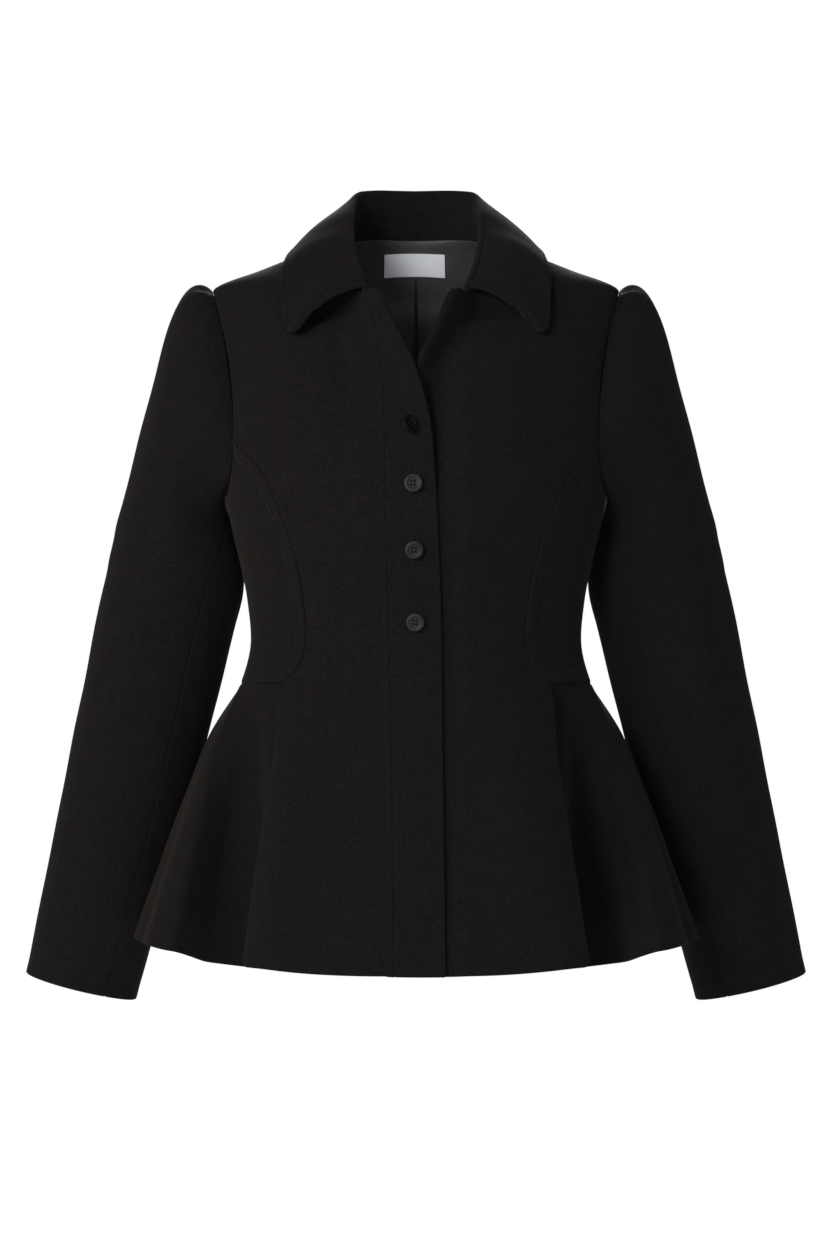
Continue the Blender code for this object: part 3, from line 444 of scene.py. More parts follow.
SLEEVE_CREASES = {
    "left": (
        # turn0, z0, turn1, z1, width_degrees, height
        (86.0, -0.1500, 80.0, -0.3000, 15.0, 0.0016),
        (80.0, -0.2900, 60.0, -0.4600, 14.0, 0.0022),
        (30.0, -0.5450, 76.0, -0.5850, 12.0, 0.0012),
        (104.0, -0.3600, 60.0, -0.3300, 14.0, -0.0009),
        (212.0, -0.3300, 245.0, -0.3600, 15.0, -0.0020),
        (216.0, -0.3900, 248.0, -0.3700, 14.0, -0.0016),
        (-100.0, -0.3500, -30.0, -0.3900, 15.0, -0.0012),
        (-110.0, -0.4600, -40.0, -0.4300, 16.0, 0.0010),
    ),
    "right": (
        # turn0, z0, turn1, z1, width_degrees, height
        (90.0, -0.1500, 82.0, -0.2900, 15.0, 0.0018),
        (82.0, -0.2800, 58.0, -0.4500, 14.0, 0.0024),
        (26.0, -0.5500, 70.0, -0.5900, 12.0, 0.0013),
        (100.0, -0.3900, 50.0, -0.3500, 14.0, -0.0009),
        (212.0, -0.3450, 245.0, -0.3700, 15.0, -0.0020),
        (216.0, -0.4000, 248.0, -0.3850, 14.0, -0.0016),
        (-105.0, -0.3600, -35.0, -0.3950, 15.0, -0.0012),
        (-110.0, -0.4700, -45.0, -0.4400, 16.0, 0.0010),
    ),
}
PEPLUM_CREASES = (
    # share, width, height
    (0.325, 0.030, 0.0030),
    (0.395, 0.026, -0.0028),
    (0.460, 0.030, 0.0026),
    (0.620, 0.040, -0.0030),
)
CREASE_BOW = (0.3, 5.0, 40.0)  # share of the width, radians along it, radians per metre of its start
CREASE_ENDS = (0.15, 0.45)  # reach past its ends and softness, as shares of its length
RIPPLES = (
    # along_x, along_y, along_z, phase, height
    (61.0, 23.0, 38.0, 0.4, 0.00022),
    (-34.0, 47.0, 71.0, 2.1, 0.00018),
    (97.0, -52.0, -29.0, 4.0, 0.00014),
    (18.0, 88.0, -55.0, 5.2, 0.00014),
)

# Edges of the cloth: steps from the outer face (1) to the inner face (-1), plain or in two lips
RIM = np.array((1.0, 0.92, 0.72, 0.40, 0.0, -0.40, -0.72, -0.92, -1.0))
ROUND_EDGE = np.sqrt(1 - RIM**2)
LIPPED_EDGE = np.array((0.0, 0.44, 0.74, 0.60, -0.10, 0.60, 0.74, 0.44, 0.0))

# Lapped edge of the side panel: distance in from its edge and height over the panel
EDGING_TRIM = 0.0012
EDGING_PLACES = 260
EDGING_SMOOTHING = 14
EDGING_FLAT = 0.85
EDGING_SIDE = (0.76, 0.20)  # how far it faces the side where it flattens, its width
EDGING_WAIST = (-0.350, -0.020)  # height where it flattens, its width
EDGING_PROFILE = np.array((
    # across, height
    (0.00030, -0.00040),
    (0.00022, 0.00012),
    (0.00045, 0.00060),
    (0.00110, 0.00098),
    (0.00250, 0.00114),
    (0.00420, 0.00100),
    (0.00530, 0.00054),
    (0.00590, 0.00006),
    (0.00640, 0.00003),
    (0.00700, 0.00026),
    (0.00800, 0.00036),
    (0.00920, 0.00018),
    (0.01050, -0.00006),
    (0.01050, -0.00040),
))
STITCH_LINE = 0.0061
STITCH_PITCH = 0.0031
STITCH_LENGTH = 0.0022
STITCH_RADIUS = 0.00022
STITCH_LIE = 0.75
STITCH_OVER = 0.0001

# Studio and camera
FLOOR_HEIGHT = -1.40
FLOOR_RADIUS = 2.4
FLOOR_RISE = (0.05, 1.4, 1.0)  # height, radius where it begins, its width
LIGHT_AIM = (0.0, 0.0, -0.32)
LIGHTS = (
    # name, place, size, power
    ("key_light", (-1.31, -2.80, 0.51), 1.0, 54.0),
    ("front_light", (0.30, -3.10, 0.05), 1.0, 9.0),
    ("left_light", (-2.40, -1.95, 0.51), 1.2, 26.0),
    ("right_light", (2.90, -1.00, 0.40), 1.2, 5.0),
    ("back_light", (0.00, 2.90, 1.30), 1.4, 85.0),
)
AIR_SEEN = 1.0
AIR_GLOW = 0.19
CAMERA_PLACE = (0.0, -3.0, -0.338)
CAMERA_LENS = 98.34
CAMERA_SENSOR = 36.0


def smooth(knots, values):
    """A smooth curve through the values that never overshoots them (harmonic-mean slopes)."""
    knots = np.asarray(knots, float)
    values = np.asarray(values, float)
    flat = values.reshape(len(knots), -1)
    step = np.diff(knots)[:, None]
    slope = np.diff(flat, axis=0) / step
    product = slope[:-1] * slope[1:]
    total = slope[:-1] + slope[1:]
    tangent = np.zeros_like(flat)
    tangent[0] = slope[0]
    tangent[-1] = slope[-1]
    tangent[1:-1] = np.where(product > 0, 2 * product / np.where(product > 0, total, 1), 0)

    def place(at):
        """The values at any places along the curve, held at its ends."""
        at = np.clip(np.asarray(at, float), knots[0], knots[-1])
        where = at.ravel()
        span = np.clip(np.searchsorted(knots, where, side="right") - 1, 0, len(knots) - 2)
        length = step[span]
        s = (where - knots[span])[:, None] / length
        rise = (3 - 2 * s) * s**2
        begin = s * (1 - s) ** 2 * length * tangent[span]
        end = -(s**2) * (1 - s) * length * tangent[span + 1]
        found = flat[span] * (1 - rise) + flat[span + 1] * rise + begin + end
        return found.reshape(at.shape + values.shape[1:])

    return place


def curve(table):
    """A smooth curve from a table's first column to its second, or to all the others."""
    table = np.array(table)
    return smooth(table[:, 0], table[:, 1] if table.shape[1] == 2 else table[:, 1:])


def ease(value):
    """A step that runs softly from 0 to 1: 3v^2 - 2v^3."""
    value = np.clip(value, 0, 1)
    return value * value * (3 - 2 * value)


def past(value, limit, width):
    """A soft step from 0 at the limit to 1 a width beyond it; a width below zero runs downward."""
    return ease((value - limit) / width)


def bell(value):
    """A soft bump: exp(-v^2)."""
    return np.exp(-(value**2))


def rounded(distance, radius):
    """A quarter circle: 0 at no distance, 1 from one radius on."""
    return np.sqrt(1 - np.clip(1 - distance / radius, 0, 1) ** 2)


def unit(vectors):
    """The vectors at length one."""
    return vectors / np.linalg.norm(vectors, axis=-1, keepdims=True)


def between(limits, share):
    """A size part of the way between two limits."""
    return limits[0] + (limits[1] - limits[0]) * share


def lengths(points, axis=0):
    """The running length along one axis of a grid of places."""
    steps = np.linalg.norm(np.diff(points, axis=axis), axis=-1)
    begin = np.zeros_like(np.take(steps, [0], axis=axis))
    return np.concatenate((begin, np.cumsum(steps, axis=axis)), axis=axis)


def along_path(path, run, at):
    """Places at the given lengths along a path whose running length is known."""
    return np.stack([np.interp(at, run, path[:, axis]) for axis in range(path.shape[1])], axis=-1)


def spaced(points, shares):
    """Places at the given shares of the length of a smooth curve through the points."""
    run = lengths(points)
    fine = smooth(run, points)(np.linspace(0, run[-1], 40 * len(points)))
    run = lengths(fine)
    return along_path(fine, run, shares * run[-1])


def close_ends(count, rim):
    """Shares from 0 to 1, even in the middle and drawn close together at both ends."""
    rim = np.array(rim)
    return np.concatenate((rim, np.linspace(rim[-1], 1 - rim[-1], count)[1:-1], 1 - rim[::-1]))


def normals(grid):
    """The direction out of a grid of places: its column direction crossed with its row direction."""
    return unit(np.cross(np.gradient(grid, axis=1), np.gradient(grid, axis=0)))


def from_sides(grid, sides):
    """How far each place is from the nearest named side: b first row, t last row, l first, r last column."""
    down = lengths(grid, 0)
    across = lengths(grid, 1)
    found = {"b": down, "t": down[-1] - down, "l": across, "r": across[:, -1:] - across}
    return np.min([found[side] for side in sides], axis=0)


def seamed(grid, sides):
    """The share of the cloth's thickness: full inside, rounded down to a thin lip at the named seams."""
    return SEAM_SINK + (1 - SEAM_SINK) * rounded(from_sides(grid, sides), SEAM_ROUND)


def turned_edge(grid, sides, turn):
    """The extra half thickness of an edge turned double: a bell in from the named sides."""
    return turn[0] * bell(from_sides(grid, sides) / turn[1])


def mirrored(grid):
    """The same piece for the wearer's other side."""
    return grid[:, ::-1] * np.array((-1.0, 1.0, 1.0))


def creases(x, z, table):
    """Folds in the cloth: each a bell across the line from (x0, z0) to (x1, z1), bowed and soft-ended."""
    bow, turns, phase = CREASE_BOW
    over, soft = CREASE_ENDS
    total = np.zeros(np.broadcast(x, z).shape)
    for x0, z0, x1, z1, width, height in table:
        length = math.hypot(x1 - x0, z1 - z0)
        along = ((x - x0) * (x1 - x0) + (z - z0) * (z1 - z0)) / length**2
        off = ((x - x0) * (z1 - z0) - (z - z0) * (x1 - x0)) / length
        off = off + bow * width * np.sin(turns * along + phase * x0)
        ends = past(along, -over, soft) * past(along, 1 + over, -soft)
        total = total + height * bell(off / width) * ends
    return total


def ripple(points):
    """The slow unevenness of worn cloth: a few slanted sine waves, together about 0.4 mm high."""
    table = np.array(RIPPLES)
    phase = points @ table[:, 0:3].T + table[:, 3]
    return np.sin(phase) @ table[:, 4]


body_size = curve(BODY_SECTIONS)


def body(angle, z):
    """A place on the body: angle 0 is centre front, 90 degrees the wearer's left, 180 centre back."""
    angle, z = np.broadcast_arrays(np.asarray(angle, float), np.asarray(z, float))
    half, front, back = np.moveaxis(body_size(z), -1, 0)
    side = np.sin(angle)
    ahead = np.cos(angle)
    x = half * np.sign(side) * np.abs(side) ** (2 / ROUNDNESS)
    y = -np.where(ahead >= 0, front, back) * np.sign(ahead) * np.abs(ahead) ** (2 / ROUNDNESS)
    return np.stack((x, y, z), axis=-1)


def body_out(angle, z):
    """The direction straight out of the body there."""
    tiny = 1e-4
    along = body(angle + tiny, z) - body(angle - tiny, z)
    up = body(angle, z + tiny) - body(angle, z - tiny)
    return unit(np.cross(along, up))


def body_angle(x, z, rear=False):
    """The angle at which the body is x to the side at that height."""
    x = np.asarray(x, float)
    share = np.clip(np.abs(x) / body_size(z)[..., 0], 0, 1)
    angle = np.sign(x) * np.arcsin(share ** (ROUNDNESS / 2))
    return np.pi - angle if rear else angle


front_edge = np.array((FRONT_HEM,) + FRONT_ROWS[: NECK_CORNER_ROW + 1])
front_edge_x = smooth(front_edge[:, 1], front_edge[:, 0])
front_lift = {True: curve(ROLL_RIGHT), False: curve(ROLL_LEFT)}


def front_place(angle, z, laps, out=0.0):
    """A place on a front: on the body with its folds, rolled out near its edge, sunk where it is lapped."""
    base = body(angle, z)
    x = base[..., 0]
    away = np.maximum(x - front_edge_x(z), 0)
    lift = front_lift[laps](z) * (bell(away / ROLL_WIDTH) if laps else np.exp(-away / CURL_WIDTH))
    sink = (0.0 if laps else LAP_SINK) * past(x, *LAP_REACH) * past(z, *LAP_TOP)
    fold = (creases(x, z, FRONT_CREASES[laps]) + ripple(base)) * ease(away / EDGE_SMOOTH)
    straight = body_out(angle, z)
    ahead = unit(straight * np.array((1.0, 1.0, ROLL_LEVEL)))
    return base + straight * (fold - sink + out)[..., None] + ahead * lift[..., None]


def over_place(angle, z):
    """A place on the right front, which laps over the left, drawn on the wearer's left."""
    return front_place(angle, z, True)


def under_place(angle, z):
    """A place on the left front."""
    return front_place(angle, z, False)


def back_place(angle, z):
    """A place on the back: on the body with its folds."""
    base = body(angle, z)
    fold = creases(base[..., 0], z, BACK_CREASES) + ripple(base)
    return base + body_out(angle, z) * fold[..., None]


def rows_run(rows):
    """A panel's table, the length of edge and seam together from row to row, and the running length."""
    table = np.array(rows)
    move = np.diff(table, axis=0)
    length = np.hypot(move[:, 0], move[:, 1]) + np.hypot(move[:, 2], move[:, 3])
    return table, length, np.concatenate(([0], np.cumsum(length)))


def hem_steps(depth, count):
    """Steps from 1 at the hem to 0 at the waist, close together at the hem's rim."""
    return np.concatenate((1 - HEM_RIM / depth, np.linspace(1 - HEM_FIRST_ROW / depth, 0, count)))


def fine_rows(rows, hem):
    """A panel's edge and seam from hem to shoulder, close together, and the step of each row below the waist.

    Below the waist they lie on straight lines to the hem; above it on smooth curves through the table,
    spaced by the length of edge and seam together and closer at the neck corner.
    """
    table, length, run = rows_run(rows)
    count = np.ceil(length / (2 * ROW_PITCH)).astype(int)
    count[NECK_CORNER_ROW - 1: NECK_CORNER_ROW + 2] *= CORNER_ROWS
    at = [np.linspace(a, b, n, endpoint=False) for a, b, n in zip(run[:-1], run[1:], count)]
    upper = smooth(run, table)(np.concatenate(at + [run[-1] - SHOULDER_RIM]))
    depth = table[0, 3] - hem[3]
    step = hem_steps(depth, int(depth / ROW_PITCH))[:-1]
    lower = table[0] + (np.array(hem) - table[0]) * step[:, None]
    return np.concatenate((lower, upper)), np.concatenate((step, np.zeros(len(upper))))


def droop(left, step):
    """How far the cloth beside the pleat edge has curved back: squared, most at the edge."""
    return PLEAT_DROOP * ease(step / DROOP_GROWTH) * np.clip(1 - left / PLEAT_CURVE, 0, 1) ** 2


def hem_corner(left, step):
    """How far the hem is drawn up where it meets the pleat edge: a quarter circle."""
    low = np.clip(1 - (1 - step) * HEM_CORNER_FADE, 0, 1)
    return HEM_CORNER * (1 - rounded(left, HEM_CORNER)) * low


def pleat_start(rows, hem, place, rear, step):
    """Where the side peplum begins: beside the panel's edge at the waist, deep behind it at the hem."""
    line = np.array(rows[0]) + (np.array(hem) - np.array(rows[0])) * step[:, None]
    seam_x, seam_z = line[:, 2], line[:, 3]
    far = body_angle(seam_x, seam_z, rear)
    edge = place(far, seam_z)
    along = unit(edge - place(body_angle(seam_x - PLEAT_PROBE, seam_z, rear), seam_z))
    out = body_out(far, seam_z)
    radius = between(PLEAT_RADIUS, step)
    lateral = radius + between(PLEAT_LATERAL, past(step, *PLEAT_SHIFT))
    deep = unit(out * np.array((1.0, 1.0, PLEAT_LEVEL)))
    start = edge + along * lateral[:, None] - deep * between(PLEAT_DEPTH, step**PLEAT_DEEPEN)[:, None]
    return start, edge, along, out, radius[:, None]


def pleat_turn(rows, hem, place, rear, step):
    """The pleat edge: a turn round its fold, then its inner leaf bent back to the side peplum."""
    start, edge, along, out, radius = pleat_start(rows, hem, place, rear, step)
    edge = edge - out * droop(0.0, step)[:, None]
    edge[:, 2] += hem_corner(0.0, step)
    lean = np.arctan(2 * droop(0.0, step) / PLEAT_CURVE)[:, None]
    facing = (out * np.cos(lean) + along * np.sin(lean))[:, None]
    onward = (along * np.cos(lean) - out * np.sin(lean))[:, None]
    turn = (PLEAT_ARC * (1 - lean / (np.pi / 2)))[..., None]
    swing = facing * np.cos(turn) + onward * np.sin(turn)
    arc = edge[:, None] + (swing - facing) * radius[:, None]
    quarter = arc[:, -1]
    grown = ease(step / LEAF_GROWTH)[:, None]
    end = (quarter - out * radius * LEAF_BEND[0]) * (1 - grown) + (start + out * PLEAT_MEET) * grown
    bend = quarter - out * np.linalg.norm(end - quarter, axis=1, keepdims=True) * LEAF_BEND[1]
    t = PLEAT_LEAF[:, None]
    leaf = quarter[:, None] * (1 - t) ** 2 + bend[:, None] * 2 * t * (1 - t) + end[:, None] * t**2
    return np.concatenate((arc, leaf), axis=1)


def panel(rows, hem, place, rear, first):
    """A front or half back: rows from hem to shoulder, columns from its free edge to its seam or pleat."""
    lines, step = fine_rows(rows, hem)
    edge_x, edge_z, seam_x, seam_z = lines.T[..., None]
    near = body_angle(edge_x, edge_z, rear)
    far = body_angle(seam_x, seam_z, rear)
    whole = np.linalg.norm(body(far, seam_z) - body(near, edge_z), axis=-1)

    def laid(last, curved):
        """The panel with its last columns that far from its seam, curved back and drawn up by that share."""
        head = first / whole
        stop = 1 - last / whole
        t = np.linspace(0, 1, INNER_COLUMNS)[1:-1]
        middle = head[:, -1:] + (stop[:, :1] - head[:, -1:]) * t
        shares = np.concatenate((head, middle, stop), axis=1)
        bow = HEM_BOW * step[:, None] * np.sin(np.pi * shares)
        left = (1 - shares) * whole
        angle = near + (far - near) * shares
        z = edge_z + (seam_z - edge_z) * shares - bow + curved * hem_corner(left, step[:, None])
        return place(angle, z) - body_out(angle, z) * (curved * droop(left, step[:, None]))[..., None]

    grid = laid(SEAM_COLUMNS, 0.0)
    below = step > 0
    pleat = pleat_turn(rows, hem, place, rear, step[below])
    turned = np.concatenate((laid(PLEAT_COLUMNS, 1.0)[below], pleat), axis=1)
    grown = ease(step[below] / PLEAT_GROWTH)[:, None, None]
    grid[below] = grid[below] * (1 - grown) + turned * grown
    return grid


# Finishes
def attach(tree, value, socket):
    """A wire is linked to the socket, and a plain number or colour is set on it."""
    if isinstance(value, Wire):
        tree.links.new(value.socket, socket)
    else:
        socket.default_value = value


class Wire:
    """A socket in a finish; sums, differences and products of wires add Math nodes."""

    def __init__(self, tree, socket):
        self.tree = tree
        self.socket = socket

    def join(self, operation, first, second):
        node = self.tree.nodes.new("ShaderNodeMath")
        node.operation = operation
        attach(self.tree, first, node.inputs[0])
        attach(self.tree, second, node.inputs[1])
        return Wire(self.tree, node.outputs[0])

    def __add__(self, other):
        return self.join("ADD", self, other)

    def __sub__(self, other):
        return self.join("SUBTRACT", self, other)

    def __rsub__(self, other):
        return self.join("SUBTRACT", other, self)

    def __mul__(self, other):
        return self.join("MULTIPLY", self, other)

    __radd__ = __add__
    __rmul__ = __mul__


class Finish:
    """A procedural finish: one surface shader and the nodes that vary it."""

    def __init__(self, name, fixed):
        self.material = bpy.data.materials.new(name)
        self.material.use_nodes = True
        self.tree = self.material.node_tree
        self.surface = self.tree.nodes["Principled BSDF"]
        self.vary(fixed)
        self.place = self.node("ShaderNodeTexCoord", {}, {}, "Object")

    def vary(self, sockets):
        """The surface's own sockets, each a number, a colour or a wire."""
        for name, value in sockets.items():
            attach(self.tree, value, self.surface.inputs[name])

    def node(self, kind, settings, sockets, output=0):
        """A node of that kind with its settings, then its sockets, and a wire from one output."""
        made = self.tree.nodes.new(kind)
        for name, value in settings.items():
            setattr(made, name, value)
        for name, value in sockets.items():
            attach(self.tree, value, made.inputs[name])
        return Wire(self.tree, made.outputs[output])

    def noise(self, scale, detail=2.0, rough=0.5, stretch=(1.0, 1.0, 1.0)):
        """Soft random variation, scale turns to the metre, drawn out along the axes."""
        drawn = self.node("ShaderNodeMapping", {}, {"Vector": self.place, "Scale": stretch})
        sockets = {"Vector": drawn, "Scale": scale, "Detail": detail, "Roughness": rough}
        return self.node("ShaderNodeTexNoise", {}, sockets)

    def wave(self, scale, axis, warp):
        """Even ribs along one axis, a little warped."""
        sockets = {"Vector": self.place, "Scale": scale, "Distortion": warp, "Detail": 1.0}
        return self.node("ShaderNodeTexWave", {"bands_direction": axis}, sockets, "Fac")

    def paint(self, tone, low, high, rough):
        """A base colour between two, by the tone, and the roughness."""
        sockets = {0: tone, 6: (*low, 1.0), 7: (*high, 1.0)}
        colour = self.node("ShaderNodeMix", {"data_type": "RGBA"}, sockets, 2)
        self.vary({"Base Color": colour, "Roughness": rough})

    def bump(self, height, strength, distance):
        """The surface's small relief."""
        sockets = {"Height": height, "Strength": strength, "Distance": distance}
        self.vary({"Normal": self.node("ShaderNodeBump", {}, sockets, "Normal")})


def wool_finish(name, low, high):
    """Felted wool: a short vertical nap, fine fibre speckle and slow mottling, quite matt."""
    wool = Finish(name, {"Specular IOR Level": 0.05, "Sheen Weight": 0.03, "Sheen Roughness": 0.55,
                         "Sheen Tint": (1.0, 0.88, 0.78, 1.0)})
    felt = wool.noise(1100.0, 3.0, 0.6)
    fibre = wool.noise(1700.0, 2.0, 0.55, (1.0, 1.0, 0.22))
    mottle = wool.noise(62.0, 3.0, 0.55)
    speck = wool.noise(420.0)
    tone = 0.5 + (felt - 0.5) * 1.7 + (fibre - 0.5) * 1.1 + (mottle - 0.5) * 0.4 + (speck - 0.5) * 0.7
    wool.paint(tone, low, high, 0.86 + (mottle - 0.5) * 0.2)
    wool.bump(felt * 0.6 + fibre * 0.5 + speck * 0.6, 0.35, 0.0006)
    return wool.material


def satin_finish(name, low, high):
    """Lining satin: smooth, fine ribs one way and soft shine."""
    satin = Finish(name, {"Specular IOR Level": 0.22, "Sheen Weight": 0.04})
    ribs = satin.wave(900.0, "X", 0.6)
    slub = satin.noise(300.0, stretch=(1.0, 1.0, 0.1))
    cloud = satin.noise(45.0)
    tone = 0.35 + ribs * 0.15 + (slub - 0.5) * 0.5 + (cloud - 0.5) * 0.4
    satin.paint(tone, low, high, 0.42 + (slub - 0.5) * 0.15)
    satin.bump(ribs * 0.3 + slub * 0.4, 0.25, 0.0003)
    return satin.material


def label_finish(name, low, high):
    """Woven label cloth: pale, with fine ribs both ways."""
    label = Finish(name, {"Specular IOR Level": 0.3})
    weft = label.wave(420.0, "Z", 0.3)
    warp = label.wave(300.0, "X", 0.3)
    cloud = label.noise(160.0)
    tone = 0.4 + weft * 0.25 + warp * 0.1 + (cloud - 0.5) * 0.5
    label.paint(tone, low, high, 0.62 + (cloud - 0.5) * 0.2)
    label.bump(weft * 0.6 + warp * 0.3, 0.4, 0.0002)
    return label.material


def horn_finish(name, low, high, rough, shine):
    """Button horn: dark, with slow streaks and a half gloss that is worn unevenly."""
    horn = Finish(name, {"Specular IOR Level": shine})
    streak = horn.noise(140.0, 4.0, 0.6, (1.0, 1.0, 0.35))
    grain = horn.noise(900.0)
    tone = 0.5 + (streak - 0.5) * 1.6 + (grain - 0.5) * 0.3
    horn.paint(tone, low, high, rough + (grain - 0.5) * 0.2)
    horn.bump(grain + streak, 0.08, 0.0002)
    return horn.material


def thread_finish(name, low, high):
    """Sewing thread: matt, with the twist of its strands."""
    thread = Finish(name, {"Specular IOR Level": 0.2})
    twist = thread.noise(2600.0, 2.0, 0.6)
    thread.paint(twist, low, high, 0.75 + (twist - 0.5) * 0.2)
    thread.bump(twist, 0.4, 0.0002)
    return thread.material


def floor_finish(name, low, high):
    """A pale studio floor with a faint, slow unevenness."""
    floor = Finish(name, {"Specular IOR Level": 0.2})
    cloud = floor.noise(2.0)
    floor.paint(cloud, low, high, 0.8 + (cloud - 0.5) * 0.1)
    return floor.material


WOOL = wool_finish("felted_wool", (0.0028, 0.0024, 0.0022), (0.0128, 0.0112, 0.0102))
# A slightly lighter copy of the wool for the side panels' raised edging: a painted highlight on its lip.
WOOL_PAINTED_HIGHLIGHT = wool_finish("felted_wool_painted_highlight", (0.0030, 0.0026, 0.0024), (0.0132, 0.0116, 0.0106))
SATIN = satin_finish("lining_satin", (0.031, 0.0305, 0.0315), (0.053, 0.052, 0.054))
LABEL_WEAVE = label_finish("label_weave", (0.66, 0.68, 0.74), (0.80, 0.82, 0.87))
HORN = horn_finish("button_horn", (0.010, 0.0094, 0.0094), (0.024, 0.0226, 0.0226), 0.52, 0.26)
# A darker copy of the horn for the tipped top button: painted shade for the dark that its turned face shows.
HORN_PAINTED_SHADE = horn_finish("button_horn_painted_shade", (0.0022, 0.0021, 0.0021), (0.006, 0.0056, 0.0056), 0.26, 0.08)
THREAD = thread_finish("sewing_thread", (0.006, 0.0055, 0.005), (0.016, 0.015, 0.014))
PALE_THREAD = thread_finish("label_thread", (0.62, 0.64, 0.69), (0.84, 0.86, 0.90))
FLOOR = floor_finish("studio_floor", (0.80, 0.80, 0.80), (0.84, 0.84, 0.84))


# Making pieces
def put(name, points, faces, finish):
    """A smooth mesh object from places and lists of corners."""
    mesh = bpy.data.meshes.new(name)
    mesh.from_pydata(points.tolist(), [], faces)
    mesh.shade_smooth()
    mesh.materials.append(finish)
    mesh.update()
    made = bpy.data.objects.new(name, mesh)
    bpy.context.scene.collection.objects.link(made)
    return made


def make(name, points, faces, finish, tips=((),)):
    """A piece on the root body, turned outward if its volume comes out below zero.

    Faces have four corners, and tips, which close a pole, have three.
    """
    split = np.size(faces)
    corners = np.concatenate((np.ravel(faces), np.ravel(tips))).astype(int)
    used, corners = np.unique(corners, return_inverse=True)
    points = np.asarray(points).reshape(-1, 3)[used]
    faces, tips = corners[:split].reshape(-1, 4), corners[split:].reshape(-1, 3)
    a, b, c, d = (points[faces[:, place]] for place in range(4))
    if np.sum(a * np.cross(b, c)) + np.sum(a * np.cross(c, d)) < 0:
        faces, tips = faces[:, ::-1], tips[:, ::-1]
    piece = put(name, points, faces.tolist() + tips.tolist(), finish)
    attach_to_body(piece, "root")
    return piece


def strips(lower, upper):
    """Four-sided faces between two rows of point numbers that run side by side."""
    corners = (lower[..., :-1], lower[..., 1:], upper[..., 1:], upper[..., :-1])
    return np.stack(corners, axis=-1).reshape(-1, 4)


def numbered(shape):
    """Point numbers of a grid, and the same with its first column again at the end, so that rows close."""
    number = np.arange(np.prod(shape)).reshape(shape)
    return number, np.concatenate((number, number[..., :1]), axis=-1)


def wall(name, mid, half, finish, lips=None, slit=None):
    """A wall of cloth on a grid of places.

    The grid is moved out and in by half its thickness along its normals, and an edge profile is carried
    round its outline, plain and round or, by the share in lips, in two lips with a groove between them.
    A slit, given as a column and a row, opens the grid between that column and the one before it above
    that row; below it the two columns are one.
    """
    rows, columns = mid.shape[:2]
    column, row = slit or (columns, rows - 1)
    sides = [part for part in (slice(0, column), slice(column, columns)) if slit or part.start == 0]
    out = np.concatenate([normals(mid[:, part]) for part in sides], axis=1)
    half = np.broadcast_to(half, (rows, columns))
    offset = out * half[..., None]
    number, _ = numbered((rows, columns))
    round_way = [number[0, :-1], number[:-1, -1], number[-1, :0:-1], number[:0:-1, 0]]
    if slit:
        number[:row + 1, column] = number[:row + 1, column - 1]
        round_way[0] = np.delete(number[0], column)[:-1]
        round_way[2:3] = (number[-1, :column:-1], number[:row:-1, column], number[row:-1, column - 1],
                          number[-1, column - 1:0:-1])
    loop = np.concatenate(round_way)
    path = mid.reshape(-1, 3)[loop]
    up = out.reshape(-1, 3)[loop]
    away = unit(np.cross(np.roll(path, -1, axis=0) - np.roll(path, 1, axis=0), up))
    thick = half.reshape(-1)[loop][:, None]
    share = np.zeros(len(loop)) if lips is None else lips.reshape(-1)[loop]
    reach = ROUND_EDGE[1:-1, None] * (1 - share) + LIPPED_EDGE[1:-1, None] * share
    rim = path + (away * thick) * reach[..., None] + (up * thick) * RIM[1:-1, None, None]
    total = rows * columns
    points = np.concatenate([part.reshape(-1, 3) for part in (mid + offset, mid - offset, rim)])
    rings = np.concatenate((loop[None], 2 * total + numbered(rim.shape[:2])[0], loop[None] + total))
    rings = np.concatenate((rings, rings[:, :1]), axis=1)
    face = np.concatenate([strips(number[:-1, part], number[1:, part]) for part in sides])
    faces = np.concatenate((face, face[:, ::-1] + total, strips(rings[1:], rings[:-1])))
    return make(name, points, faces, finish)


def sewn(piece, name, hand=""):
    """The piece stands for its solid, which is hidden."""
    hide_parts(f"{name}_{hand}" if hand else name)


def cloth(name, grid, half, hand="", lips=None, slit=None):
    """A wool piece on its grid, which is drawn for the wearer's left and turned over for the right."""
    if hand == "right":
        grid, half = mirrored(grid), half[:, ::-1]
        lips = None if lips is None else lips[:, ::-1]
    title = f"cloth_{name}_{hand}" if hand else f"cloth_{name}"
    sewn(wall(title, grid, half, WOOL, lips, slit), name, hand)


def tube(ring):
    """Faces of closed tubes, each through its own row of rings, with flat ends."""
    number, closed = numbered(ring.shape[:-1])
    half = number.shape[-1] // 2
    first, last = (strips(number[..., row, :half], number[..., row, :half - 1:-1]) for row in (0, -1))
    return np.concatenate((strips(closed[..., :-1, :], closed[..., 1:, :]), first[:, ::-1], last))


def round_rings(path, side, up, thick, count):
    """Rings of places round each place of a path: side by the cosine and up by the sine, times the radius."""
    turn = np.linspace(0, 2 * np.pi, count, endpoint=False)[:, None]
    return path[..., None, :] + (side[..., None, :] * np.cos(turn) + up[..., None, :] * np.sin(turn)) * thick


def stitches(name, path, out, finish):
    """Running stitches along a path: each a short bent strand, thick in its middle, let in at both ends."""
    run = lengths(path)
    t = np.linspace(-0.5, 0.5, 7)
    at = np.arange(STITCH_PITCH, run[-1] - STITCH_PITCH, STITCH_PITCH)[:, None] + t * STITCH_LENGTH
    lie = along_path(path, run, at)
    up = unit(along_path(out, run, at))
    side = np.cross(up, unit(np.gradient(lie, axis=1)))
    bow = np.sqrt(np.clip(1 - (2 * t) ** 2, 0, 1))
    lie = lie + up * ((bow - STITCH_LIE) * STITCH_RADIUS)[:, None]
    ring = round_rings(lie, side, up, STITCH_RADIUS * np.maximum(bow, 0.05)[:, None, None], 8)
    make(name, ring, tube(ring), finish)


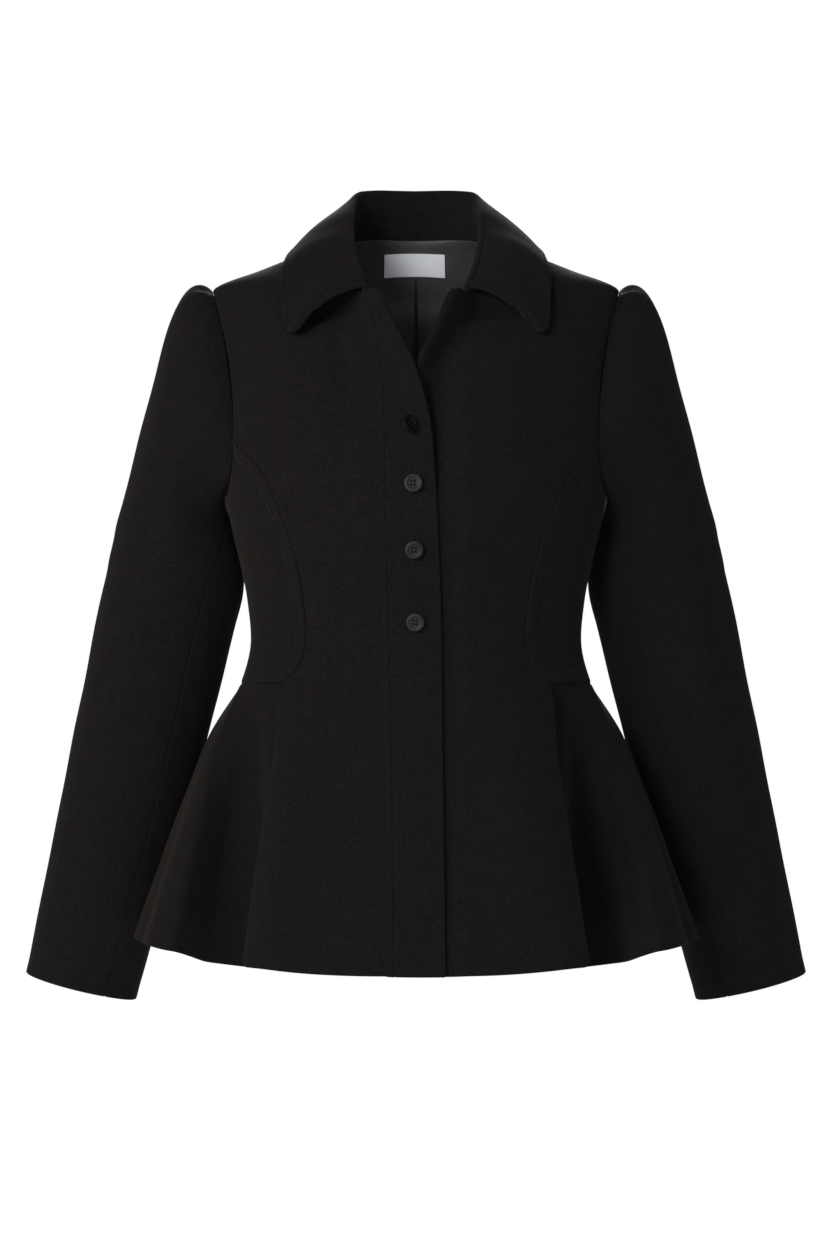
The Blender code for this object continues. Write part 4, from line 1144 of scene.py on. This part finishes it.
# Fronts, back and placket
def edge_double(away, z, laps):
    """The extra half thickness of a front's turned edge, most in the neck opening."""
    return between(EDGE_DOUBLE[laps], past(z, *EDGE_DOUBLE_TOP)) * bell(away / EDGE_DOUBLE_WIDTH)


for hand, laps, place in (("right", True, over_place), ("left", False, under_place)):
    grid = panel(FRONT_ROWS, FRONT_HEM, place, False, EDGE_COLUMNS)
    half = CLOTH / 2 * seamed(grid, "tr") + turned_edge(grid, "b", HEM_TURN)
    half = half + edge_double(from_sides(grid, "l"), grid[..., 2], laps)
    lips = np.zeros(grid.shape[:2])
    lips[:, 0] = 1.0
    cloth("front", grid, half, hand, lips)

grid = panel(BACK_ROWS, BACK_HEM, back_place, True, BACK_COLUMNS)[:, ::-1]
neck_row = int(np.sum(grid[:, -1, 0] < 1e-6)) - 1
open_neck = (np.arange(len(grid)) > neck_row)[:, None]
half = CLOTH / 2 * np.where(open_neck, seamed(grid, "tlr"), seamed(grid, "tl"))
half = half + turned_edge(grid, "b", HEM_TURN)
both = np.concatenate((grid, mirrored(grid)), axis=1)
cloth("back", both, np.concatenate((half, half[:, ::-1]), axis=1), slit=(grid.shape[1], neck_row))


def placket_band():
    """The button band on the right front: thick at the front's edge, rounded down into the ditch of its seam.

    Past the seam it goes on as a low swell over the seam allowance, which dies away in 7 mm.
    """
    low = FRONT_HEM[1] - PLACKET_DROP
    high = FRONT_ROWS[NECK_CORNER_ROW][1] - PLACKET_TOP
    z = between((low, high), close_ends(165, (0.0, 0.0008, 0.0022, 0.0050)))[:, None]
    edge = front_edge_x(z) + PLACKET_INSET
    seam = curve(PLACKET_SEAM)(z)
    share = close_ends(26, (0.0, 0.010, 0.025, 0.050))
    x = np.concatenate((edge + (seam - edge) * share, seam + BAND_DITCH), axis=1)
    within = seam - x
    thin, thin_width = PLACKET_THIN
    band = (BAND_CLOTH - thin * ease(1 - within / thin_width)) * rounded(within, SEAM_ROUND)
    swell = BAND_SWELL * ease(-within / BAND_SWELL_ENDS[0])
    swell = swell * ease((within + BAND_DITCH[-1]) / BAND_SWELL_ENDS[1])
    tall = np.where(within >= 0, band, swell)
    double = edge_double(np.maximum(x - front_edge_x(z), 0), z, True)
    out = CLOTH / 2 + double + tall / 2 - LAY_SINK
    return front_place(body_angle(x, z), z + 0 * x, True, out), tall / 2 + LAY_SINK


band, band_half = placket_band()
cloth("placket", mirrored(band), band_half[:, ::-1])


# Side panels with their lapped edges
def seam_line(rows, rear, shares):
    """A panel's outer seam between waist corner and armhole, as angle and height."""
    table, _, run = rows_run(rows)
    found = smooth(run, table)(shares * run[ARMHOLE_ROW])
    return np.stack((body_angle(found[:, 2], found[:, 3], rear), found[:, 3]), axis=-1)


def underarm_path(shares):
    """The low half of the armhole: half an ellipse from the front seam round to the back seam."""
    start = seam_line(FRONT_ROWS, False, np.ones(1))
    stop = seam_line(BACK_ROWS, True, np.ones(1))
    turn = np.pi * shares
    path = start + (stop - start) * ((1 - np.cos(turn)) / 2)[:, None]
    path[:, 1] -= UNDERARM_DIP * np.sin(turn)
    return path


def side_path(up, across):
    """The side panel as angle and height: a patch blended between its four edges."""
    left = seam_line(FRONT_ROWS, False, up)
    right = seam_line(BACK_ROWS, True, up)
    top = underarm_path(across)
    u = across[None, :, None]
    v = ((left[:, 1] - left[0, 1]) / (left[-1, 1] - left[0, 1]))[:, None, None]
    bottom = left[0] + (right[0] - left[0]) * u[0]
    sides = left[:, None] * (1 - u) + right[:, None] * u
    ends = bottom[None] * (1 - v) + top[None] * v
    low_corners = (1 - v) * ((1 - u) * left[0] + u * right[0])
    high_corners = v * ((1 - u) * left[-1] + u * right[-1])
    return sides + ends - low_corners - high_corners


side = side_path(close_ends(80, (0.0, 0.0012, 0.0035, 0.009)), close_ends(60, (0.0, 0.0022, 0.006, 0.015)))
side_grid = body(side[..., 0], side[..., 1])
side_grid = side_grid + body_out(side[..., 0], side[..., 1]) * ripple(side_grid)[..., None]
side_half = CLOTH / 2 * seamed(side_grid, "btlr")


def edging_path():
    """The edge of the side panel, down its front seam, along the waist and up its back seam, evenly spaced.

    Each pass of the smoothing takes a quarter of both neighbours and half of the place itself.
    """
    edge = np.concatenate((side[::-1, 0], side[0, 1:-1], side[:, -1]))
    run = lengths(body(edge[:, 0], edge[:, 1]))
    path = along_path(edge, run, np.linspace(EDGING_TRIM, run[-1] - EDGING_TRIM, EDGING_PLACES))
    for _ in range(EDGING_SMOOTHING):
        path[1:-1] = (path[:-2] + 2 * path[1:-1] + path[2:]) / 4
    angle, z = path.T
    path = body(angle, z)
    out = body_out(angle, z)
    inward = unit(np.cross(out, np.gradient(path, axis=0)))
    return path + out * CLOTH / 2, inward, out


edge_path, edge_in, edge_out = edging_path()
edge_flat = past(np.abs(edge_out[:, 0]), *EDGING_SIDE) * past(edge_path[:, 2], *EDGING_WAIST)
edge_rise = edge_out * (1 - EDGING_FLAT * edge_flat)[:, None]
across, height = EDGING_PROFILE.T[..., None]
edging = edge_path[:, None] + edge_in[:, None] * across + edge_rise[:, None] * height
stitch_line = edge_path + edge_in * STITCH_LINE + edge_out * STITCH_OVER
for hand, flip in (("left", 1.0), ("right", -1.0)):
    turned = np.array((flip, 1.0, 1.0))
    cloth("side_panel", side_grid, side_half, hand)
    # The edging takes the lighter copy of the wool, a painted highlight on its lip.
    strip = make(f"cloth_side_edging_{hand}", edging * turned, tube(edging), WOOL_PAINTED_HIGHLIGHT)
    sewn(strip, "side_edging", hand)
    stitches(f"edging_stitches_{hand}", stitch_line * turned, edge_out * turned, THREAD)


# Side peplum
flare = curve(FLARE)


def peplum_grid(phase):
    """The side peplum: at each step a smooth curve through its folds, then creases, growing from the waist.

    The valley beside the front's pleat is a bell sunk along the normals, and its hem is let down a little.
    """
    step = hem_steps(PEPLUM_LENGTH, PEPLUM_ROWS)
    start = pleat_start(FRONT_ROWS, FRONT_HEM, over_place, False, step)[0]
    stop = pleat_start(BACK_ROWS, BACK_HEM, back_place, True, step)[0]
    first = body_angle(start[-1, 0], start[-1, 2])
    last = body_angle(stop[-1, 0], stop[-1, 2], True)
    folds = np.array(PEPLUM_FOLDS)
    share, hem = folds[:, 0], folds[:, 1:]
    waist = body(between((first, last), share), between((start[-1, 2], stop[-1, 2]), share))
    middle = waist + (hem - waist) * flare(step)[:, None, None]
    middle[..., 2] = waist[:, 2] + (hem[:, 2] - waist[:, 2]) * step[:, None]
    knots = np.concatenate((start[:, None], middle, stop[:, None]), axis=1)
    run = lengths(knots, 1)
    valley = VALLEY_PLACE * run[:, 1:2] / run[:, -1:]
    u = close_ends(130, (0.0, 0.003))
    grid = np.stack([spaced(row, u) for row in knots])
    inward = body_out(np.arctan2(grid[-1, :, 0], -grid[-1, :, 1]), grid[-1, :, 2])
    grid = grid - inward * (WAIST_TUCK[0] * ease(1 - step / WAIST_SOFT))[:, None, None]
    grid[-1, :, 2] -= WAIST_DROP
    hidden = grid[-1] + np.array((0.0, 0.0, 1.0)) * WAIST_TUCK[1] * np.array((1, 2))[:, None, None]
    grid = np.concatenate((grid, hidden))
    step = np.concatenate((step, (0.0, 0.0)))[:, None]
    valley = np.concatenate((valley, valley[-2:]))
    sunk = PEPLUM_VALLEY[1] * bell((u - valley) / PEPLUM_VALLEY[0]) * step**VALLEY_POWER
    fold = ripple(grid) - sunk
    for place, width, height in PEPLUM_CREASES:
        fold = fold + height * bell((u - place - phase * step) / width) * step**CREASE_POWER
    grid = grid + normals(grid) * (fold * ease(step / PEPLUM_GROWTH))[..., None]
    grid[..., 2] -= VALLEY_DROP * sunk * step
    return grid


for hand, phase in (("left", 0.0), ("right", 0.012)):
    grid = peplum_grid(phase)
    cloth("peplum", grid, CLOTH / 2 * seamed(grid, "t") + turned_edge(grid, "b", HEM_TURN), hand)


# Sleeves
def armhole_loop():
    """The armhole: down the front seam from the shoulder, under the arm and up the back seam.

    Its turn runs from 0 at the shoulder to 180 degrees under the arm and on to 360.
    """

    def arm_edge(rows, rear):
        """A panel's armhole seam from underarm to shoulder, as angle and height."""
        table = np.array(rows)[ARMHOLE_ROW:, 2:]
        run = lengths(table)
        found = smooth(run, table)(np.linspace(0, run[-1], 60))
        return np.stack((body_angle(found[:, 0], found[:, 1], rear), found[:, 1]), axis=-1)

    down = arm_edge(FRONT_ROWS, False)[:0:-1]
    under = underarm_path(np.linspace(0, 1, UNDERARM_PLACES))
    path = np.concatenate((down, under, arm_edge(BACK_ROWS, True)[1:]))
    points = body(path[:, 0], path[:, 1])
    middle = path + (np.array((np.pi / 2, ARM_CENTRE)) - path) * ARM_PROBE
    inward = body(middle[:, 0], middle[:, 1]) - points
    along = unit(np.gradient(points, axis=0))
    inward -= along * np.sum(inward * along, axis=-1, keepdims=True)
    inward[[0, -1]] = (0.0, 0.0, -1.0)
    set_in = points + unit(inward) * SET_IN + body_out(path[:, 0], path[:, 1]) * SET_OUT
    run = lengths(points)
    lowest = len(down) + UNDERARM_LOWEST
    front = 180 * run / run[lowest]
    rear = 180 + 180 * (run - run[lowest]) / (run[-1] - run[lowest])
    return np.where(np.arange(len(run)) <= lowest, front, rear), set_in


armhole_turns, armhole_points = armhole_loop()
sleeve_ring = smooth(-np.array(SLEEVE_RINGS)[:, 0], SLEEVE_RINGS)
sleeve_head = curve(SLEEVE_HEAD)


def sleeve_tube(turn, height):
    """A place on the sleeve below the arm: turn 0 is outermost, 90 degrees the front."""
    centre_z, centre_x, centre_y, half_width, half_depth, _ = np.moveaxis(sleeve_ring(-height), -1, 0)
    angle = np.radians(turn)
    out = half_width * np.cos(angle)
    x = centre_x + out * math.cos(SLEEVE_LEAN)
    y = centre_y - half_depth * np.sin(angle)
    z = centre_z + out * math.sin(SLEEVE_LEAN)
    return np.stack((x, y, z), axis=-1)


def sleeve_cap(turn, share):
    """A place on the sleeve head: each line leaves the armhole outward and swings down to the arm."""
    arm = SLEEVE_RINGS[0][0]
    begin = along_path(armhole_points, armhole_turns, turn % 360.0)
    end = sleeve_tube(turn, np.full_like(turn, arm))
    folded = np.abs((turn + 180.0) % 360.0 - 180.0)
    rise, leave, arrive = np.moveaxis(sleeve_head(folded), -1, 0)
    rise = np.radians(rise)[..., None]
    radial = begin - np.array((0.0, 0.0, ARM_CENTRE))
    radial[..., 0] = 0.0
    gap = np.linalg.norm(end - begin, axis=-1)
    outward = np.cos(rise) * np.array((1.0, 0.0, 0.0)) + np.sin(rise) * unit(radial)
    start = outward * (gap * leave)[..., None]
    down = unit(sleeve_tube(turn, np.full_like(turn, arm - SLEEVE_PROBE)) - end) * (gap * arrive)[..., None]
    s = share[..., None]
    place = begin * (1 - (3 - 2 * s) * s**2) + end * (3 - 2 * s) * s**2
    place = place + start * s * (1 - s) ** 2 - down * s**2 * (1 - s)
    wave = np.cos(np.pi * folded / GATHER_SPAN * GATHERS) * past(folded, GATHER_SPAN, -GATHER_FADE)
    growth = share / GATHER_REACH * np.exp(1 - share / GATHER_REACH)
    swell = place - (begin + end) / 2
    swell[..., 1] *= HEAD_FLATTEN
    return place + unit(swell) * (GATHER_HEIGHT * wave * growth)[..., None]


def sleeve_piece(angles, spread, hand):
    """A sleeve piece, cuff to armhole; spread turns its columns so that they keep to the front seam."""
    cuff, arm = SLEEVE_RINGS[-1][0], SLEEVE_RINGS[0][0]
    arm_rows, head_rows = SLEEVE_COUNTS
    height = cuff + np.concatenate((HEM_RIM, np.linspace(HEM_FIRST_ROW, arm - cuff, arm_rows)))[:, None]
    share = np.concatenate((np.linspace(0.97, 0.02, head_rows), (0.012, 0.006, 0.0025, 0.0)))[:, None]
    arm_turns = spread(angles, sleeve_ring(-height)[..., 5])
    head_turns = spread(angles, between((HEAD_SEAM_ANGLE, SLEEVE_RINGS[0][5]), share))
    tall = sleeve_tube(arm_turns, height + 0 * arm_turns)
    cap = sleeve_cap(head_turns, share + 0 * head_turns)
    grid = np.concatenate((tall, cap))[:, ::-1]
    turns = np.concatenate((arm_turns, head_turns))[:, ::-1]
    table = np.array(SLEEVE_CREASES[hand]) * (0.001, 1.0, 0.001, 1.0, 0.001, 1.0)
    fold = creases(turns / 1000, grid[..., 2], table) + ripple(grid)
    fold = fold * ease(from_sides(grid, "t") / SLEEVE_SOFT)
    return grid + normals(grid) * fold[..., None]


def spread_upper(angles, seam):
    """Columns of the upper sleeve: fixed over the gathers, then drawn to the front seam."""
    ahead = GATHER_SPAN + (angles - GATHER_SPAN) * (seam - GATHER_SPAN) / (HEAD_SEAM_ANGLE - GATHER_SPAN)
    return np.where(angles <= GATHER_SPAN, angles, ahead)


def spread_under(angles, seam):
    """Columns of the under sleeve, from the front seam round to the back seam."""
    stop = 360.0 + BACK_SEAM_ANGLE
    return seam + (stop - seam) * (angles - HEAD_SEAM_ANGLE) / (stop - HEAD_SEAM_ANGLE)


upper_share = close_ends(130, (0.0, 0.0012, 0.0032, 0.0065))
under_share = close_ends(50, (0.0, 0.0036, 0.0095, 0.02))
sleeve_parts = (
    ("sleeve_upper", between((BACK_SEAM_ANGLE, HEAD_SEAM_ANGLE), upper_share), spread_upper),
    ("sleeve_under", between((HEAD_SEAM_ANGLE, 360.0 + BACK_SEAM_ANGLE), under_share), spread_under),
)
for hand in ("left", "right"):
    for part, angles, spread in sleeve_parts:
        grid = sleeve_piece(angles, spread, hand)
        cloth(part, grid, CLOTH / 2 * seamed(grid, "lrt") + turned_edge(grid, "b", CUFF_TURN), hand)


# Collar
def neck_points():
    """The neck edge under each collar station."""
    rear_x, rear_z = np.array(BACK_ROWS[-4:-1])[:, :2].T
    behind = body(body_angle(rear_x, rear_z, True), rear_z)
    middle = body(body_angle(*NECK_SIDE, True), NECK_SIDE[1])[None]
    shoulder = body(np.pi / 2, 0.0)[None]
    x, z = np.array(NECK_FRONT).T
    return np.concatenate((behind, middle, shoulder, over_place(body_angle(x, z), z)))


def both_hands(half, at):
    """Places for one side carried to both: x turned over where the place along the collar is below zero."""
    return half * np.stack((np.where(at < 0, -1.0, 1.0), np.ones_like(at), np.ones_like(at)), axis=-1)


def collar_curves(at):
    """Stand seam, roll, outer edge, fall direction and distance from the end, along the collar."""
    table = np.array(COLLAR_STATIONS)
    angle, z = np.radians(table[:, 6]), table[:, 7]
    edge = body(angle, z) + body_out(angle, z) * COLLAR_LIFT
    run = lengths(edge)
    half = np.concatenate((table[:, 0:6], edge, table[:, 8:9]), axis=1)
    found = smooth(run / run[-1], half)(np.abs(at))
    seam, roll, outer = (both_hands(found[:, place:place + 3], at) for place in (0, 3, 6))
    return seam, roll, outer, np.radians(found[:, 9:10]), (1 - np.abs(at)) * run[-1]


def fall_grid():
    """The collar leaf: up from the stand, round the roll and out to its edge, with rounded points.

    The roll is an arc, and the leaf a quadratic curve that leaves it at the fall angle; near each end the
    curve stops short by a quarter circle.
    """
    end = np.array((0.0, 0.0008, 0.0025, 0.005, 0.009, 0.014, 0.020, 0.028, 0.038, 0.050, 0.064, 0.080))
    half = np.concatenate((np.linspace(0, 0.91, 90), 1 - end[::-1]))
    at = np.concatenate((-half[:0:-1], half))
    seam, roll, edge, slope, width = collar_curves(at)
    outward = unit((edge - roll) * np.array((1.0, 1.0, 0.0)))
    up = np.array((0.0, 0.0, 1.0))
    radius = between(ROLL_RADIUS, np.abs(at))[:, None]
    centre = roll - up * radius + outward * radius
    swing = np.radians(np.linspace(180.0, 40.0, 13))[:, None, None]
    arc = centre + radius * (outward * np.cos(swing) + up * np.sin(swing))
    inner = seam + (arc[0] - seam) * np.linspace(0, 1, 9)[:-1, None, None]
    top = arc[-1]
    length = np.linalg.norm(edge - top, axis=1, keepdims=True)
    control = top + (outward * np.cos(slope) - up * np.sin(slope)) * length / 2
    reach = 1 - COLLAR_TIP * (1 - rounded(width[:, None], COLLAR_TIP)) / length
    share = np.concatenate((np.linspace(0, 0.975, 40)[1:], (0.988, 0.995, 1.0)))[:, None, None] * reach
    leaf = top * (1 - share) ** 2 + control * 2 * share * (1 - share) + edge * share**2
    lift = LEAF_LIFT * bell(width / LEAF_LIFT_WIDTH)[:, None] * np.sin(np.pi * np.clip(share, 0, 1)) ** 0.7
    lift = lift + EDGE_LIFT * bell(width / EDGE_LIFT_WIDTH)[:, None] * share**2
    leaf = leaf + np.array((0.0, -1.0, 0.0)) * lift
    grid = np.concatenate((inner, arc, leaf))[::-1]
    grid[..., 1] += END_SINK * bell(width / END_SINK_WIDTH)
    fold = ripple(grid) * COLLAR_RIPPLE * ease(from_sides(grid, "t") / COLLAR_SOFT)
    return grid - normals(grid) * fold[..., None]


def stand_grid():
    """The collar stand: a band from the neck edge up to the fall's seam, dying away at the front."""
    neck = neck_points()[:STAND_STATIONS]
    seam = np.array(COLLAR_STATIONS)[:STAND_STATIONS, 0:3]
    rise = unit(seam - neck)
    half = np.concatenate((neck + rise * STAND_FOOT, seam - rise * STAND_HEAD), axis=1)
    run = lengths(seam)
    at = np.linspace(-1, 1, 121)
    found = smooth(run / run[-1], half)(np.abs(at))
    foot, head = (both_hands(found[:, place:place + 3], at) for place in (0, 3))
    return between((foot, head), close_ends(10, (0.0, 0.02, 0.05))[:, None, None])


stand = stand_grid()
cloth("collar_stand", stand, CLOTH / 2 * np.maximum(seamed(stand, "bt"), STAND_THINNEST))
fall = fall_grid()
fall_half = COLLAR_CLOTH / 2 * np.maximum(seamed(fall, "t"), COLLAR_THINNEST)
cloth("collar_fall", fall, fall_half + turned_edge(fall, "blr", COLLAR_TURN))


# Back lining with its centre pleat, and the label
def pleat_half(z):
    """Half the width of the lining's pleat, wider further down."""
    return between(PLEAT_HALF, past(z, LABEL_HEIGHTS[0], PLEAT_WIDEN))


def lining_place(x, z, extra=0.0):
    """A place on the lining: inside the back, upright at the neck, eased away below it, grooved and waved."""
    level = np.minimum(z, LINING_UPRIGHT)
    angle = body_angle(x, level, True)
    ease_in = np.interp(-z, *np.array(LINING_EASE).T)
    half = pleat_half(z)
    deep = (ease_in - PLEAT_GROOVE) * past(z, LABEL_HEIGHTS[0], PLEAT_BEGIN)
    deep = deep * ease(PLEAT_GAP - np.abs(x) / half)
    tall, wide, slant = LINING_WAVE
    start, soft, clear = LINING_WAVE_FADE
    wave = tall * np.sin(wide * np.abs(x) + slant * z) * past(z, LABEL_HEIGHTS[0] - start, soft)
    wave = wave * past(np.abs(x), 2 * half, clear)
    out = body_out(angle, level)
    out[..., 2] *= past(z, *LINING_SLOPE)
    place = body(angle, level) - unit(out) * (CLOTH / 2 + ease_in - deep + wave + extra)[..., None]
    place[..., 2] += z - level
    return place


def lining_grid():
    """The lining from above the hem to below the neck edge: half of it, then the other half turned over."""
    ends = (LINING_ROWS[0][0], LINING_ROWS[-1][0])
    z_near = between(ends, close_ends(150, (0.0, 0.0012, 0.0035)))
    reach, z_far = curve(LINING_ROWS)(z_near).T[..., None]
    z_near = z_near[:, None]
    groove = pleat_half(z_near) * np.array((0.0, 0.3, 0.6, 0.75, 0.9, 1.05, 1.2, 1.35, 1.5, 1.65, 2.0))
    near = between((groove[:, -1:], LABEL_HALF), np.linspace(0, 1, 10)[1:])
    share = np.linspace(0, 1, 34)[1:]
    x = np.concatenate((groove, near, between((LABEL_HALF, reach), share)), axis=1)
    lean = np.concatenate((np.zeros(groove.shape[1] + near.shape[1]), share**1.8))
    places = lining_place(x, z_near + (z_far - z_near) * lean)
    return np.concatenate((mirrored(places), places[:, 1:]), axis=1)


sewn(wall("satin_lining_back", lining_grid(), LINING_CLOTH / 2, SATIN), "lining_back")


def label_place(x, z, over):
    """A place on the label, lying over the lining by that much: to one side, and lower towards its ends."""
    low = z - LABEL_BOW * (x / LABEL_HALF) ** 2
    x = x + LABEL_SHIFT
    points = lining_place(np.abs(x), low, LINING_CLOTH / 2 + LABEL_CLOTH / 2 + LABEL_GAP + over)
    points[..., 0] *= np.where(x < 0, -1.0, 1.0)
    return points


label_x = between((-LABEL_HALF, LABEL_HALF), close_ends(60, (0.0, 0.004, 0.012)))
label_z = between(LABEL_HEIGHTS, close_ends(24, (0.0, 0.01, 0.035)))[:, None]
label_x, label_z = np.broadcast_arrays(label_x, label_z)
lift = LABEL_WAVE[0] * np.sin(LABEL_WAVE[1] * label_x) * np.sin(LABEL_WAVE[2] * label_z)
label = wall("woven_label", label_place(label_x, label_z, lift), LABEL_CLOTH / 2, LABEL_WEAVE)
sewn(label, "label")
corner_turns = np.linspace(0, 4, 400)
corner_x = np.array((-1, 1, 1, -1, -1)) * (LABEL_HALF - LABEL_SEAM)
corner_z = np.array((LABEL_HEIGHTS[0] + LABEL_SEAM, LABEL_HEIGHTS[1] - LABEL_SEAM))[[0, 0, 1, 1, 0]]
hem_x, hem_z = (np.interp(corner_turns, np.arange(5), corner) for corner in (corner_x, corner_z))
hem_out = -body_out(body_angle(hem_x, hem_z, True), hem_z)
stitches("label_stitches", label_place(hem_x, hem_z, LABEL_CLOTH / 2), hem_out, PALE_THREAD)


# Buttons
def button_face(rings):
    """A turned button in its own frame: its profile swung round, with four round pits for the thread."""
    run = lengths(BUTTON_PROFILE)
    inner, outer = BUTTON_RINGS
    at = np.concatenate((np.linspace(0, run[3], inner), np.linspace(run[3], run[-1], outer)[1:]))
    share, high = smooth(run, BUTTON_PROFILE)(at)[1:-1].T[..., None]
    radius = BUTTON_RADIUS * share
    height = BUTTON_THICK * high
    turn = np.linspace(0, 2 * np.pi, BUTTON_TURNS, endpoint=False)
    x, y = radius * np.cos(turn), radius * np.sin(turn)
    hole = np.radians(45.0 + 90.0 * np.arange(4))
    hole_x, hole_y = BUTTON_HOLE_RING * np.cos(hole), BUTTON_HOLE_RING * np.sin(hole)
    off = np.hypot(x[..., None] - hole_x, y[..., None] - hole_y).min(axis=-1)
    pit = ease((BUTTON_HOLE * PIT_EDGE[0] - off) / (BUTTON_HOLE * PIT_EDGE[1]))
    lathe, turns = BUTTON_LATHE
    relief = rings * lathe * np.cos(radius * turns) - pit * BUTTON_THICK * PIT_DEPTH
    z = height + np.where(height > BUTTON_THICK * FACE_HEIGHT, relief, 0.0)
    number, closed = numbered(z.shape)
    poles = np.array(((0.0, 0.0, BUTTON_THICK * BUTTON_PROFILE[0, 1]), (0.0, 0.0, 0.0)))
    first, last = (np.full(BUTTON_TURNS, number.size + place) for place in (0, 1))
    tips = np.concatenate((np.stack((first, closed[0, :-1], closed[0, 1:]), axis=-1),
                           np.stack((last, closed[-1, 1:], closed[-1, :-1]), axis=-1)))
    points = np.concatenate((np.stack((x, y, z), axis=-1).reshape(-1, 3), poles))
    return points, strips(closed[1:], closed[:-1]), tips


def strand(path, thick):
    """A round strand along a path, tapered into its ends."""
    along = unit(np.gradient(path, axis=0))
    side = unit(np.cross(along, np.array((0.31, 0.12, 0.94))))
    t = np.linspace(-1, 1, len(path))
    wide = thick * np.sqrt(np.clip(1 - 0.9 * t**8, 0, 1))[:, None, None]
    return round_rings(path, side, np.cross(side, along), wide, 10)


def button(number, x, z, turn):
    """A button with its thread, lying on the placket and tipped about its upright line."""
    flip = np.array((-1.0, 1.0, 1.0))
    angle = body_angle(np.array(-x), np.array(z))
    seat = front_place(angle, np.array(z), True, CLOTH / 2 + BAND_CLOTH + BUTTON_STAND) * flip
    out = body_out(angle, np.array(z)) * flip
    facing = Vector(out).to_track_quat("Z", "Y")
    tip = math.radians(turn)
    place = np.array(Vector(seat) + facing @ Vector((0.0, 0.0, BUTTON_RADIUS * math.sin(tip))))
    spin = np.array((Matrix.Rotation(tip, 3, "Z").to_quaternion() @ facing).to_matrix())
    top = number == 1
    points, faces, tips = button_face(1.0 if top else BUTTON_WORN)
    # The tipped top button takes the darker copy of the horn, painted shade on its face.
    horn = HORN_PAINTED_SHADE if top else HORN
    disc = make(f"horn_button_{number}", points @ spin.T + place, faces, horn, tips)
    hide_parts(f"button_{number}")
    t = np.linspace(-1, 1, 25)[:, None]
    hole = BUTTON_HOLE_RING * math.sqrt(0.5)
    bow = STRAND_BOW[0] * (1 - t**4) - STRAND_BOW[1] * t**8 + BUTTON_THICK * BUTTON_PROFILE[0, 1]
    rings = []
    for side, offset in zip((-hole, -hole, hole, hole), STRAND_OFFSETS):
        bridge = np.concatenate((t * hole * STRAND_REACH, np.full_like(t, side + offset), bow), axis=1)
        rings.append(strand(bridge, STRAND_RADIUS))
    foot = spin.T @ (seat - place - out * (BUTTON_STAND + SHANK_ENDS[1]))
    head = np.array((0.0, 0.0, SHANK_ENDS[0]))
    rings.append(strand(between((head, foot), np.linspace(0, 1, 14)[:, None]), SHANK_RADIUS))
    begin = np.cumsum([0] + [ring[..., 0].size for ring in rings])
    points = np.concatenate([ring.reshape(-1, 3) for ring in rings]) @ spin.T + place
    faces = np.concatenate([tube(ring) + start for ring, start in zip(rings, begin)])
    make(f"button_thread_{number}", points, faces, THREAD)


for count, row in enumerate(BUTTON_PLACES, 1):
    button(count, *row)


# Studio
def studio_floor():
    """A round, pale floor well below the jacket: rings of points, the outer ones turned slightly up."""
    radius = np.linspace(0.0, FLOOR_RADIUS, 25)[1:, None]
    turn = np.linspace(0, 2 * np.pi, 97)[:-1]
    x, y = radius * np.cos(turn), radius * np.sin(turn)
    z = FLOOR_HEIGHT + FLOOR_RISE[0] * past(radius, *FLOOR_RISE[1:]) + 0 * x
    number, closed = numbered(x.shape)
    faces = strips(closed[:-1], closed[1:])[:, ::-1].tolist() + [number[0].tolist()]
    put("studio_floor", np.stack((x, y, z), axis=-1).reshape(-1, 3), faces, FLOOR)


def studio_light(name, place, size, power):
    """A large soft light that faces the middle of the jacket."""
    light = bpy.data.lights.new(name, "AREA")
    light.shape = "DISK"
    light.size = size
    light.energy = power
    lamp = bpy.data.objects.new(name, light)
    bpy.context.scene.collection.objects.link(lamp)
    lamp.location = place
    lamp.rotation_euler = (Vector(LIGHT_AIM) - Vector(place)).to_track_quat("-Z", "Y").to_euler()


def studio_air():
    """A white surround for the camera, and a dimmer one that lights the jacket."""
    world = bpy.data.worlds.new("studio_air")
    world.use_nodes = True
    tree = world.node_tree
    seen, dim = tree.nodes["Background"], tree.nodes.new("ShaderNodeBackground")
    for node, strength in ((seen, AIR_SEEN), (dim, AIR_GLOW)):
        node.inputs["Color"].default_value = (1.0, 1.0, 1.0, 1.0)
        node.inputs["Strength"].default_value = strength
    path = tree.nodes.new("ShaderNodeLightPath")
    mixed = tree.nodes.new("ShaderNodeMixShader")
    tree.links.new(path.outputs["Is Camera Ray"], mixed.inputs["Fac"])
    tree.links.new(dim.outputs["Background"], mixed.inputs[1])
    tree.links.new(seen.outputs["Background"], mixed.inputs[2])
    tree.links.new(mixed.outputs["Shader"], tree.nodes["World Output"].inputs["Surface"])
    bpy.context.scene.world = world


studio_floor()
for row in LIGHTS:
    studio_light(*row)
studio_air()
bpy.context.scene.view_settings.view_transform = "Standard"

camera = bpy.data.cameras.new("photo_view")
camera.lens = CAMERA_LENS
camera.sensor_width = CAMERA_SENSOR
viewer = bpy.data.objects.new("photo_view", camera)
viewer.location = CAMERA_PLACE
viewer.rotation_euler = (math.radians(90.0), 0.0, 0.0)
bpy.context.scene.collection.objects.link(viewer)
bpy.context.scene.camera = viewer
